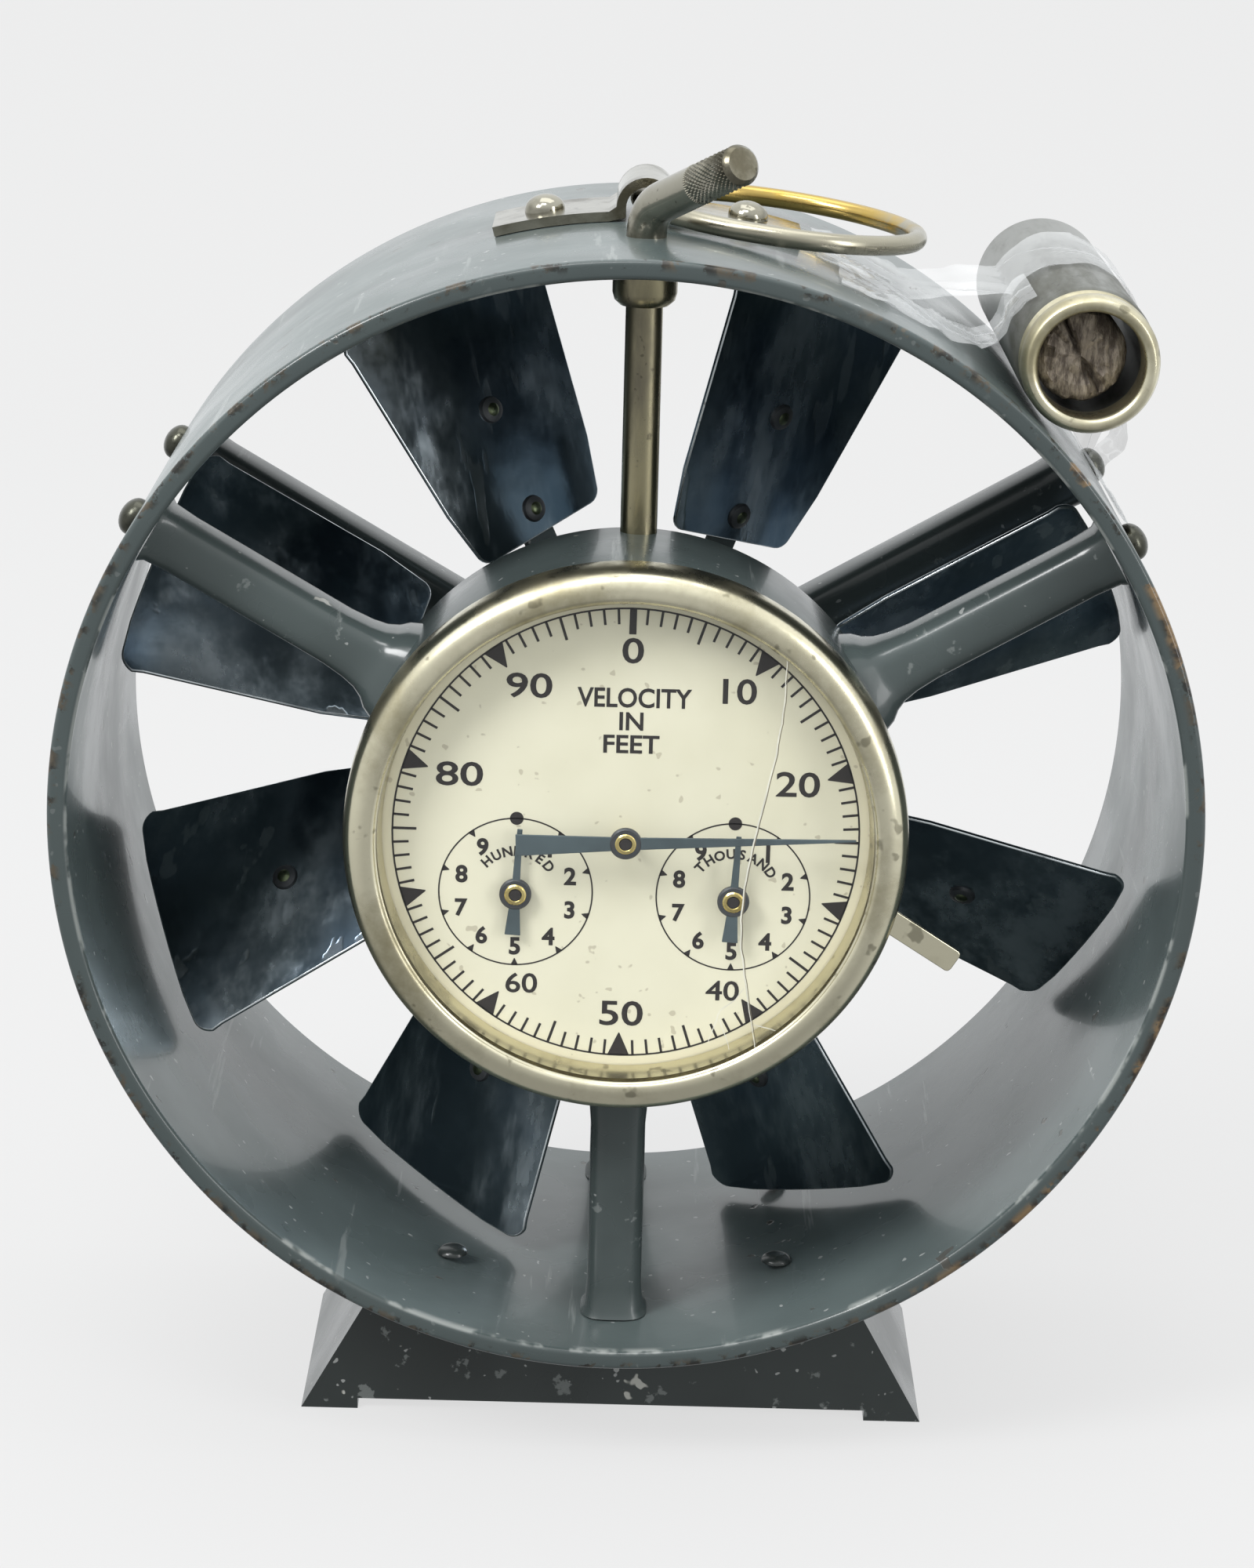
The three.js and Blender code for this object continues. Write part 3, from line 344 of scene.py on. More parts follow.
M = {
    "ring": enamel("ring_enamel", (0.074, 0.094, 0.093), 0.7, rim=True),
    "case": enamel("case_enamel", (0.052, 0.066, 0.065), 0.71),
    "base": enamel("base_enamel", (0.024, 0.029, 0.028), 0.70),
    "vane": blued_steel("blued_steel"),
    "bezel": worn_metal("champagne_nickel", (0.68, 0.64, 0.48), (0.31, 0.28, 0.18), 0.27, 70),
    "tube": worn_metal("tarnished_brass", (0.30, 0.27, 0.17), (0.17, 0.155, 0.115), 0.3, 160,
                       1.0, (1, 1, 0.25)),
    "nickel": worn_metal("worn_nickel", (0.32, 0.305, 0.25), (0.11, 0.10, 0.07), 0.17, 150),
    "loop": loop_metal("loop_metal"),
    "brass": worn_metal("bush_brass", (0.66, 0.54, 0.22), (0.4, 0.31, 0.1), 0.25, 400),
    "screw": worn_metal("screw_metal", (0.075, 0.075, 0.06), (0.03, 0.032, 0.028), 0.3, 260),
    "rivet": worn_metal("rivet_metal", (0.10, 0.12, 0.07), (0.04, 0.05, 0.035), 0.35, 600),
    "edge": worn_metal("bright_edge", (0.62, 0.66, 0.68), (0.35, 0.38, 0.4), 0.25, 200),
    "steel": worn_metal("plain_steel", (0.5, 0.5, 0.5), (0.3, 0.3, 0.29), 0.35, 200),
    "dial": cream_paper("dial_cream"),
    # near-black print, also used as painted shade in the hands' bush holes
    "ink_and_hole_shade": plain("dial_ink_and_hole_shade", (0.012, 0.009, 0.008), 0.7),
    "hand": plain("hand_slate", (0.075, 0.105, 0.115), 0.4, 0.3),
    "washer": plain("washer_dark", (0.05, 0.055, 0.06), 0.45, 0.4),
    "glass": see_through("glass_clear", 0.022, 0.0),
    # pale colour of the glass crack: painted highlight
    "crack": plain("crack_painted_highlight", (0.7, 0.69, 0.6), 0.4),
    # dark line beside the crack: painted shade
    "crack_painted_shade": plain("crack_painted_shade", (0.16, 0.14, 0.10), 0.5),
    "grey": worn_metal("ferrule_grey", (0.16, 0.165, 0.15), (0.075, 0.075, 0.06), 0.38, 110,
                       0.7, (1, 0.2, 1)),
    "wood": old_wood("broken_wood"),
    "tape": see_through("tape_film", 0.16, 0.17),
    "movement": worn_metal("movement_brass", (0.6, 0.48, 0.25), (0.4, 0.32, 0.16), 0.35, 120),
}


# ---- mesh building ----
def piece(name, shape, material, nodes=(), body="instrument", sharp=35.0):
    """One smooth-shaded object from a shape in millimetres, riding on a body."""
    verts, faces = shape
    mesh = bpy.data.meshes.new(name)
    mesh.from_pydata([at(*v) for v in verts], [], faces)
    mesh.validate()
    mesh.update()
    for polygon in mesh.polygons:
        polygon.use_smooth = True
    mesh.set_sharp_from_angle(angle=radians(sharp))
    mesh.materials.append(M[material])
    made = bpy.data.objects.new(name, mesh)
    scene.collection.objects.link(made)
    if nodes:
        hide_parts(*nodes)
    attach(made, body)
    return made


def soften(obj, width, segments=3, angle=40):
    """Rounds an object's edges, by a width in millimetres."""
    modifier = obj.modifiers.new("edge", "BEVEL")
    modifier.width = width * MM
    modifier.segments = segments
    modifier.limit_method = "ANGLE"
    modifier.angle_limit = radians(angle)
    modifier.harden_normals = True
    return obj


def skin(rows, closed_rows=False):
    """Faces over rows of points, each row a closed ring; open ends are capped."""
    verts = [p for row in rows for p in row]
    count, size = len(rows), len(rows[0])
    faces = []
    last = count if closed_rows else count - 1
    for i in range(last):
        for j in range(size):
            a, b = i * size + j, i * size + (j + 1) % size
            c, d = (i + 1) % count * size + (j + 1) % size, (i + 1) % count * size + j
            faces.append((a, b, c, d))
    if not closed_rows:
        faces.append(tuple(range(size - 1, -1, -1)))
        faces.append(tuple((count - 1) * size + j for j in range(size)))
    return verts, faces


def turned(profile, segments=128, centre=(0, 0), closed=False, along="y"):
    """Turned work from [radius, position] pairs; closed profiles make hollow rings."""
    rows = []
    for radius, position in profile:
        row = []
        for k in range(segments):
            angle = -k * TAU / segments
            a, b = radius * cos(angle), radius * sin(angle)
            if along == "y":
                row.append((centre[0] + a, position, centre[1] + b))
            else:
                row.append((centre[0] + a, centre[1] - b, position))
        rows.append(row)
    return skin(rows, closed)


def arc(cx, cy, radius, start, end, steps=6):
    """Points of an arc, angles in degrees."""
    points = []
    for i in range(steps + 1):
        angle = radians(lerp(start, end, i / steps))
        points.append((cx + radius * cos(angle), cy + radius * sin(angle)))
    return points


def join(*parts):
    verts, faces = [], []
    for part_verts, part_faces in parts:
        start = len(verts)
        verts += part_verts
        faces += [tuple(i + start for i in face) for face in part_faces]
    return verts, faces


def turn_radial(part, degrees, y):
    """Work drawn about the Y axis, laid out along a radius of the duct."""
    verts, faces = part
    out = Vector(polar(1, degrees))
    side = Vector(polar(1, degrees + 90))
    laid = [tuple(out * vy + side * vx + Vector((0, y + vz, 0))) for vx, vy, vz in verts]
    return laid, [tuple(reversed(face)) for face in faces]


def slab(outline, y, thick):
    """A flat plate: outline of (x, z) points, counter-clockwise from the front."""
    front = [(x, y, z) for x, z in outline]
    back = [(x, y + thick, z) for x, z in outline]
    return skin([back, front])


def dome_profile(radius, height, start, steps=8):
    """Turned profile of a domed head on a flat seat."""
    profile = [(ON_AXIS, start)]
    for i in range(steps):
        t = i / steps * math.pi / 2
        profile.append((radius * cos(t), start + height * sin(t)))
    profile.append((ON_AXIS, start + height))
    return profile


# ---- duct ring ----
def duct_ring():
    """The rolled duct: rounded lips and a wall that is very slightly out of true."""
    sides, sway = 288, 0.05
    e = RING_EDGE
    profile = arc(RING_OUTER - e, e, e, 0, -90)
    profile += arc(RING_INNER + e, e, e, -90, -180)
    profile += arc(RING_INNER + e, RING_DEPTH - e, e, 180, 90)
    profile += arc(RING_OUTER - e, RING_DEPTH - e, e, 90, 0)
    rows = []
    for radius, y in profile:
        row = []
        for k in range(sides):
            angle = -k * TAU / sides
            dent = sway * noise.noise(Vector((cos(angle) * 3, sin(angle) * 3, y * 0.05)))
            row.append(((radius + dent) * cos(angle), y, (radius + dent) * sin(angle)))
        rows.append(row)
    piece("ring_wall", skin(rows, closed_rows=True), "ring", ["duct_ring"])


# ---- spokes, case and rear hub ----
def spoke(degrees, y, root, foot):
    """An oval spoke that swells where it meets its hub or case."""
    rows = []
    squareness, sides = 0.62, 40
    stations = [
        (root, 1.95), (foot, 1.62), (foot + 0.8, 1.36), (foot + 1.8, 1.18), (foot + 3.2, 1.07),
        (foot + 5.5, 1.0), (SPOKE_END - 3, 1.0), (SPOKE_END - 0.6, 1.06), (SPOKE_END, 1.22),
    ]
    out, side = Vector(polar(1, degrees)), Vector(polar(1, degrees + 90))
    for reach, swell in stations:
        row = []
        for angle in around(sides):
            wide = math.copysign(abs(cos(angle)) ** squareness, cos(angle)) * SPOKE_WIDE
            deep = math.copysign(abs(sin(angle)) ** squareness, sin(angle)) * SPOKE_DEEP
            deep *= lerp(1, swell, 0.6)
            row.append(tuple(out * reach + side * wide * swell + Vector((0, y + deep, 0))))
        rows.append(row)
    return skin(rows)


def case_and_spokes():
    """The counter's case and the rear support, each cast in one with its three spokes."""
    r = CASE_OUTER
    shell = [(22, CASE_FRONT), (r - 0.5, CASE_FRONT)] + arc(r - 0.4, CASE_FRONT + 0.4, 0.4, -90, 0, 4)
    shell += arc(r - 1.2, CASE_BACK - 1.2, 1.2, 0, 90, 6) + [(ON_AXIS, CASE_BACK)]
    parts = [turned(shell, 160)]
    parts += [spoke(a, FRONT_SPOKE_Y, 24.6, 26.6) for a in SPOKE_ANGLES]
    piece("case_casting", join(*parts), "case", ["dial_case"])
    hub = [(ON_AXIS, 43.5), (5.2, 43.5)] + arc(5.2, 44.3, 0.8, -90, 0, 4)
    hub += arc(4.8, 49, 1.2, 0, 90, 5) + [(ON_AXIS, 50.2)]
    parts = [turned(hub, 72)]
    parts += [spoke(a, REAR_SPOKE_Y, 3.5, 6.4) for a in SPOKE_ANGLES]
    piece("rear_casting", join(*parts), "case", ["rear_spider"])


def spoke_screws():
    """Domed screw heads on the outside of the ring."""
    for i, angle in enumerate(SPOKE_ANGLES, 1):
        for end, y in (("front", FRONT_SPOKE_Y), ("rear", REAR_SPOKE_Y)):
            seat = [(ON_AXIS, HEAD_SEAT), (1.85, HEAD_SEAT)]
            head = turned(seat + dome_profile(1.85, 1.35, 54.1)[1:], 40)
            head = turn_radial(head, angle, y)
            name = f"{end}_screw_head_{i}"
            piece(name, head, "screw", [f"{end}_spoke_screw_{i}"])


# ---- bezel, glass and printed dial ----
def bezel_and_glass():
    """A spun bezel with a rolled lip, and the flat glass behind it."""
    profile = [(23.1, -2.88)] + arc(23.75, -2.75, 0.55, 200, 265, 5) + [(24.35, -3.27)]
    profile += [(25.0, -3.08), (25.55, -2.72), (25.95, -2.2), (26.2, -1.55), (26.33, -0.8), (26.35, 0)]
    profile += arc(25.95, 0.72, 0.4, 0, 80, 4) + [(24.5, 1.12), (24.5, 0.8), (22.76, 0.8), (22.76, 0.55)]
    profile += [(22.95, -0.4), (23.05, -2.04), (23.7, -2.06), (23.7, -2.85)]
    verts, faces = turned(profile, 256, closed=True)
    faces = [tuple(reversed(face)) for face in faces]
    piece("bezel_ring", (verts, faces), "bezel", ["dial_bezel"], sharp=50)
    pane = [(ON_AXIS, GLASS_FRONT), (GLASS_RADIUS, GLASS_FRONT), (GLASS_RADIUS, GLASS_BACK),
            (ON_AXIS, GLASS_BACK)]
    piece("glass_disc", turned(pane, 128), "glass", ["dial_glass"])


def ribbon(points, width, y, lift=0.012):
    """A hairline strip through (x, z) points, facing forward."""
    verts, faces = [], []
    for i, (x, z) in enumerate(points):
        ahead, behind = points[min(i + 1, len(points) - 1)], points[max(i - 1, 0)]
        along = Vector((ahead[0] - behind[0], ahead[1] - behind[1])).normalized()
        half = width / 2 * (0.4 + 0.6 * sin(math.pi * (0.08 + 0.84 * i / (len(points) - 1))))
        nx, nz = -along.y * half, along.x * half
        sides = ((x + nx, z + nz), (x - nx, z - nz))
        verts += [(px, depth, pz) for depth in (y, y + lift) for px, pz in sides]
    for i in range(len(points) - 1):
        a, b = 4 * i, 4 * i + 4
        faces += [(a, a + 1, b + 1, b), (a + 2, b + 2, b + 3, a + 3)]
        faces += [(a, b, b + 2, a + 2), (a + 1, a + 3, b + 3, b + 1)]
    end = 4 * (len(points) - 1)
    faces += [(0, 2, 3, 1), (end, end + 1, end + 3, end + 2)]
    return verts, faces


def wander(points, steps, sway, seed):
    """Smooth wavy line through a few points."""
    line = []
    for i in range(len(points) - 1):
        for s in range(steps):
            t = s / steps
            x = lerp(points[i][0], points[i + 1][0], t)
            z = lerp(points[i][1], points[i + 1][1], t)
            x += sway * noise.noise(Vector((x * 0.7 + seed, z * 0.7, seed)))
            line.append((x, z))
    return line + [points[-1]]


def glass_crack():
    """One long crack from top to bottom with short branches at its foot, drawn as a pale painted
    highlight, and a dark line of painted shade beside it.
    """
    offset = 0.13
    route = [
        (14.3, 18.4), (14.2, 14.2), (13.6, 9.3), (12.6, 4.4), (11.7, 0.15), (11.1, -3.6),
        (10.9, -6.8), (11.0, -9.6), (11.4, -12.2), (12.0, -15.8), (12.6, -19.1),
    ]
    main = wander(route, 5, 0.09, 2)
    branches = [
        wander([(11.5, -13.5), (9.0, -16.2), (8.2, -19)], 5, 0.4, 5),
        wander([(12.2, -17), (14.5, -17.6)], 5, 0.3, 7),
        wander([(12.6, -19.1), (13.4, -20.6)], 4, 0.3, 9),
        wander([(9.4, -16.6), (10.2, -19.6)], 5, 0.4, 11),
    ]
    # the crack and its branches as pale ribbons on the glass: painted highlight
    parts = [ribbon(main, 0.13, CRACK_Y)]
    parts += [ribbon(branch, 0.09, CRACK_Y) for branch in branches]
    piece("crack_highlight", join(*parts), "crack")
    # painted shade: a dark ribbon just beside the crack
    shadow = [(x + offset, z) for x, z in main]
    piece("crack_shade", ribbon(shadow, 0.1, CRACK_Y), "crack_painted_shade")


def lettering(text, height, width, weight):
    """Outline of a word as a flat mesh centred on zero: (points, faces) in millimetres."""
    curve = bpy.data.curves.new("word", "FONT")
    curve.body = text
    curve.resolution_u = 4
    curve.bevel_depth = weight
    curve.bevel_resolution = 0
    holder = bpy.data.objects.new("word", curve)
    scene.collection.objects.link(holder)
    raised = bpy.data.meshes.new_from_object(holder)
    front = [tuple(p.vertices) for p in raised.polygons
             if all(raised.vertices[k].co.z > -1e-4 for k in p.vertices)]
    used = sorted({k for face in front for k in face})
    order = {old: new for new, old in enumerate(used)}
    points = [Vector(raised.vertices[k].co) for k in used]
    faces = [tuple(order[k] for k in face) for face in front]
    bpy.data.objects.remove(holder)
    bpy.data.meshes.remove(raised)
    bpy.data.curves.remove(curve)
    low = Vector((min(p.x for p in points), min(p.y for p in points)))
    high = Vector((max(p.x for p in points), max(p.y for p in points)))
    rise = height / (high.y - low.y)
    run = width / (high.x - low.x) if width else rise
    middle = (low + high) / 2
    return [((p.x - middle.x) * run, (p.y - middle.y) * rise) for p in points], faces


def word(text, x, z, height, width=None, turn=0.0, weight=0.02):
    """A printed word centred on a place of the dial."""
    points, faces = lettering(text, height, width, weight)
    c, s = cos(radians(turn)), sin(radians(turn))
    return [(x + a * c - b * s, PRINT_Y, z + a * s + b * c) for a, b in points], faces


def mark(radius, degrees, inner, outer_half, inner_half, centre=(0, 0)):
    """A radial tick or wedge of the printed scale."""
    out, side = polar(1, degrees), polar(1, degrees + 90)
    corners = []
    ends = ((radius, outer_half), (radius, -outer_half), (inner, -inner_half), (inner, inner_half))
    for reach, half in ends:
        x = centre[0] + out[0] * reach + side[0] * half
        z = centre[1] + out[2] * reach + side[2] * half
        corners.append((x, PRINT_Y, z))
    return corners, [(0, 3, 2, 1)]


def circle_line(radius, width, centre=(0, 0), count=120):
    verts, faces = [], []
    for k in range(count):
        for r in (radius - width / 2, radius + width / 2):
            x, _, z = polar(r, k * 360 / count)
            verts.append((centre[0] + x, PRINT_Y, centre[1] + z))
    for k in range(count):
        a, b = 2 * k, 2 * ((k + 1) % count)
        faces.append((a, b, b + 1, a + 1))
    return verts, faces


def spot(x, z, radius, count=24):
    rim = (polar(radius, k * 360 / count) for k in range(count))
    return [(x + dx, PRINT_Y, z + dz) for dx, _, dz in rim], [tuple(range(count))]


# printed number: x, z, height and width of its figures
SCALE_LABELS = {
    0: (0.25, 17.8, 2.45, 2.0), 10: (10.2, 14.15, 2.45, 3.15), 20: (15.9, 5.35, 2.45, 4.1),
    40: (9.5, -15.1, 2.0, 3.15), 50: (0, -17.6, 2.5, 4.1), 60: (-9.5, -14.8, 2.0, 3.0),
    80: (-15.6, 5.6, 2.35, 4.4), 90: (-9.25, 14.25, 2.4, 4.25),
}


def dial():
    """The card, its hundred-foot track, its words and the two small dials."""
    back = 1.75
    card = [(ON_AXIS, DIAL_Y), (DIAL_RADIUS, DIAL_Y), (DIAL_RADIUS, back), (ON_AXIS, back)]
    piece("dial_card", turned(card, 128), "dial", ["dial_plate"])
    parts = [circle_line(TRACK_RADIUS, 0.17)]
    for k in range(100):
        angle = 89.5 - 3.6 * k
        if k == 0:
            parts.append(mark(TRACK_RADIUS, angle, 19.35, 0.33, 0.33))
        elif k % 10 == 0:
            parts.append(mark(TRACK_RADIUS, angle, 19.55, 1.05, 0.05))
        elif k % 5 == 0:
            parts.append(mark(TRACK_RADIUS, angle, 19.55, 0.13, 0.13))
        else:
            parts.append(mark(TRACK_RADIUS, angle, 20.3, 0.12, 0.12))
    for label, (x, z, height, width) in SCALE_LABELS.items():
        parts.append(word(str(label), x, z, height, width, weight=0.013))
    parts.append(word("VELOCITY", 0.5, 13.3, 1.9, 10.6))
    parts.append(word("IN", 0.25, 11.05, 1.75))
    parts.append(word("FEET", 0.3, 8.85, 1.75, 5.2))
    for side, name, reach, first, last in ((-1, "HUNDRED", 4.0, 133, 40), (1, "THOUSAND", 4.25, 138, 36)):
        centre = (side * SUB_X, SUB_Z)
        parts.append(circle_line(SUB_RADIUS, 0.14, centre, 90))
        parts.append(spot(centre[0], centre[1] + SUB_RADIUS, 0.64))
        for k in range(1, 10):
            angle = 90 - 36 * k
            parts.append(mark(SUB_RADIUS, angle, SUB_RADIUS - 0.65, 0.34, 0.03, centre))
            x, _, z = polar(5.35, angle)
            parts.append(word(str(k), centre[0] + x, centre[1] + z, 1.75, weight=0.034))
        for i, letter in enumerate(name):
            angle = lerp(first, last, i / (len(name) - 1))
            x, _, z = polar(reach, angle)
            parts.append(word(letter, centre[0] + x, centre[1] + z, 0.98, turn=angle - 90, weight=0.03))
    piece("dial_print", join(*parts), "ink_and_hole_shade")


def hand(name, node, body, pivot, degrees, shape, y, hub_radius, bush_y):
    """A flat hand with a flared tail, on a dark washer with a brass bush whose hole is filled with a dark
    plug of painted shade.
    """
    tip, tail, tip_wide, root_wide, tail_wide = shape
    outline = [(-tail, -tail_wide / 2), (0, -root_wide / 2), (tip, -tip_wide / 2),
               (tip, tip_wide / 2), (0, root_wide / 2), (-tail, tail_wide / 2)]
    c, s = cos(radians(degrees)), sin(radians(degrees))
    outline = [(pivot[0] + x * c - z * s, pivot[1] + x * s + z * c) for x, z in outline]
    soften(piece(name, slab(outline, y, HAND_THICK), "hand", [node], body), 0.06, 2)
    washer = [(ON_AXIS, y - 0.1), (hub_radius - 0.15, y - 0.1), (hub_radius, y + 0.05),
              (hub_radius, y + 0.34), (ON_AXIS, y + 0.34)]
    piece(name + "_washer", turned(washer, 48, pivot), "washer", body=body)
    bush = [(0.54, y), (0.54, bush_y + 0.1), (0.64, bush_y), (0.88, bush_y + 0.02),
            (1.02, bush_y + 0.14), (1.02, y)]
    piece(name + "_bush", turned(bush, 40, pivot, True), "brass", body=body)
    # painted shade: a dark plug filling the bush's hole
    hole_shade = [(ON_AXIS, bush_y + 0.02), (BUSH_HOLE, bush_y + 0.02), (BUSH_HOLE, y), (ON_AXIS, y)]
    piece(name + "_eye", turned(hole_shade, 24, pivot), "ink_and_hole_shade", body=body)


def hands():
    """Each hand's angle is where it stands at rest, counter-clockwise from the right."""
    large, small, hub = (21.4, 10.2, 0.22, 1.25, 2.1), (6.4, 4.0, 0.5, 0.8, 1.5), 1.5
    hand("main_pointer", "main_hand", "centre_pointer", (0, 0), 2.2, large, -1.85, hub, -2.06)
    hand("left_pointer", "hundreds_hand", "hundreds_pointer", (-SUB_X, SUB_Z), 87,
         small, 0.05, hub, -0.2)
    hand("right_pointer", "thousands_hand", "thousands_pointer", (SUB_X, SUB_Z), 87,
         small, -0.6, hub, -0.85)


# ---- vane wheel ----
def vane_outline():
    """Trapezoid with rounded corners and a bowed outer end, (along the radius, across)."""
    def half(r):
        return (VANE_NARROW + (VANE_WIDE - VANE_NARROW) * (r - 20) / 30) / 2
    middle, inner, outer = VANE_MIDDLE, VANE_INNER, VANE_OUTER
    lower = [(inner, middle - half(inner) + 2)]
    lower += arc(inner + 1.6, middle - half(inner) + 1.9, 1.6, 180, 262, 5)
    lower += [(r, middle - half(r)) for r in (30, 36, 42, outer - 3)]
    lower += arc(outer - 2.3, middle - half(outer) + 2.2, 2.1, -78, -8, 6)
    bow = []
    for i in range(1, 8):
        across = lerp(-(half(outer) - 2.6), half(outer) - 2.6, i / 8)
        bow.append((outer + 0.35 - 0.5 * (across / half(outer)) ** 2, middle + across))
    upper = [(x, 2 * middle - z) for x, z in reversed(lower)]
    return lower + bow + upper


def vane_place(degrees):
    """Matrix from a vane's own plane (x out, y across, z to the dial) to millimetres at the axis."""
    turn = Matrix.Rotation(-radians(degrees), 4, "Y")
    tilt = Matrix.Rotation(radians(90 - VANE_PITCH), 4, "X")
    return Matrix.Translation((0, WHEEL_Y, 0)) @ turn @ tilt


def placed(part, matrix):
    verts, faces = part
    return [tuple(matrix @ Vector(v)) for v in verts], faces


def rivet_ring(reach, share, height):
    """One ring of a rivet's head in its vane's plane, at a share of the head's radius."""
    ring = []
    for angle in around(RIVET_SIDES):
        across = VANE_MIDDLE + RIVET_RADIUS * share * sin(angle)
        ring.append((reach + RIVET_RADIUS * share * cos(angle), across, height))
    return ring


def vanes():
    """Eight blades, each with two rivets: a dark stepped washer and a brighter core."""
    outline = vane_outline()
    for i in range(VANES):
        place = vane_place(FIRST_VANE + i * 360 / VANES)
        top = [(x, z, VANE_THICK) for x, z in outline]
        bottom = [(x, z, 0.0) for x, z in outline]
        sheet = placed(skin([bottom, top]), place)
        made = piece(f"blade_{i + 1}", sheet, "vane", [f"vane_{i + 1}"], "vane_wheel")
        made.data.materials.append(M["edge"])
        soften(made, 0.16, 2).modifiers["edge"].material = 1
        rims, cores = [], []
        for reach in RIVET_REACHES:
            steps = ((1.0, VANE_THICK), (0.9, 0.82), (0.6, 0.98))
            rims.append(skin([rivet_ring(reach, *step) for step in steps]))
            cores.append(skin([rivet_ring(reach, 0.5, 0.97), rivet_ring(reach, 0.3, 1.12)]))
        rim, core = placed(join(*rims), place), placed(join(*cores), place)
        piece(f"rivets_{i + 1}", rim, "washer", body="vane_wheel")
        piece(f"rivet_cores_{i + 1}", core, "rivet", body="vane_wheel")


def wheel_hub():
    """The hub and the eight flat arms that the blades are riveted to."""
    front, back, radius, chamfer = 25.1, 34.1, 4.2, 0.6
    hub = [(ON_AXIS, front), (radius - chamfer, front), (radius, front + chamfer),
           (radius, back - chamfer), (radius - chamfer, back), (ON_AXIS, back)]
    parts = [turned(hub, 64)]
    arm_front, arm_back = -0.1, -1
    for i in range(VANES):
        place = vane_place(FIRST_VANE + i * 360 / VANES)
        rows = []
        for r, half in ((1.5, 1.8), (38.4, 1.8), (39.4, 1.5), (39.9, 0.9)):
            low, high = VANE_MIDDLE - half, VANE_MIDDLE + half
            corners = ((low, arm_back), (high, arm_back), (high, arm_front), (low, arm_front))
            rows.append([(r, across, depth) for across, depth in corners])
        parts.append(placed(skin(rows), place))
    made = piece("wheel_spider", join(*parts), "case", ["vane_spider"], "vane_wheel")
    soften(made, 0.18, 2)


# ---- top fittings ----
def reset_tube():
    """The tube that guards the zero spindle, and its flared collar at the ring."""
    foot, top = 24.9, 51.8
    profile = [(TUBE_BORE, foot), (TUBE_RADIUS, foot), (TUBE_RADIUS, top), (TUBE_BORE, top)]
    shape = turned(profile, 64, (TUBE_X, TUBE_Y), True, "z")
    piece("zero_tube", shape, "tube", ["reset_tube"])
    collar = [(1.8, 47.6), (2.3, 47.6), (2.85, 48.1), (3.05, 48.8), (3.05, 51.9), (1.8, 51.9)]
    shape = turned(collar, 64, (TUBE_X, TUBE_Y), True, "z")
    piece("zero_collar", shape, "tube", ["tube_collar"])


def bent_lever():
    """Stem, bend and straight rod whose last stretch is finely diamond-knurled."""
    lean, turn, reach, bend_radius = 21, 32, 17, 3
    starts, twist, chamfer, sides = 14, 4.4, 0.45, 112
    level = cos(radians(lean))
    out = Vector((sin(radians(turn)) * level, -cos(radians(turn)) * level,
                  sin(radians(lean))))
    corner = Vector((TUBE_X, TUBE_Y, 56.5))
    before, after = corner - Vector((0, 0, bend_radius)), corner + out * bend_radius
    path = [Vector((TUBE_X, TUBE_Y, 51.0)), Vector((TUBE_X, TUBE_Y, 52.2))]
    for i in range(11):
        t = i / 10
        path.append(before * (1 - t) ** 2 + corner * 2 * t * (1 - t) + after * t ** 2)
    smooth_to = len(path)
    steps = 76
    path += [after + out * (reach - bend_radius) * i / steps for i in range(1, steps + 1)]
    side = Vector((cos(radians(turn)), sin(radians(turn)), 0))
    rows = []
    for i, centre in enumerate(path):
        along = (path[min(i + 1, len(path) - 1)] - path[max(i - 1, 0)]).normalized()
        over = along.cross(side).normalized()
        distance = (centre - corner).length if i >= smooth_to else 0
        knurled = i >= smooth_to and reach - 7.3 < distance < reach - 0.7
        row = []
        for angle in around(sides):
            radius = LEVER_RADIUS
            if knurled:
                a = abs(sin(angle * starts + distance * twist))
                b = abs(sin(angle * starts - distance * twist))
                radius = KNURL_ROOT + (LEVER_RADIUS - KNURL_ROOT) * min(1.0, 1.5 * a * b)
            elif distance > reach - chamfer:
                radius = LEVER_RADIUS - (distance - reach + chamfer) * 0.9
            row.append(tuple(centre + side * radius * cos(angle) + over * radius * sin(angle)))
        rows.append(row)
    piece("zero_lever_rod", skin(rows), "nickel", ["reset_lever"], "zero_lever")


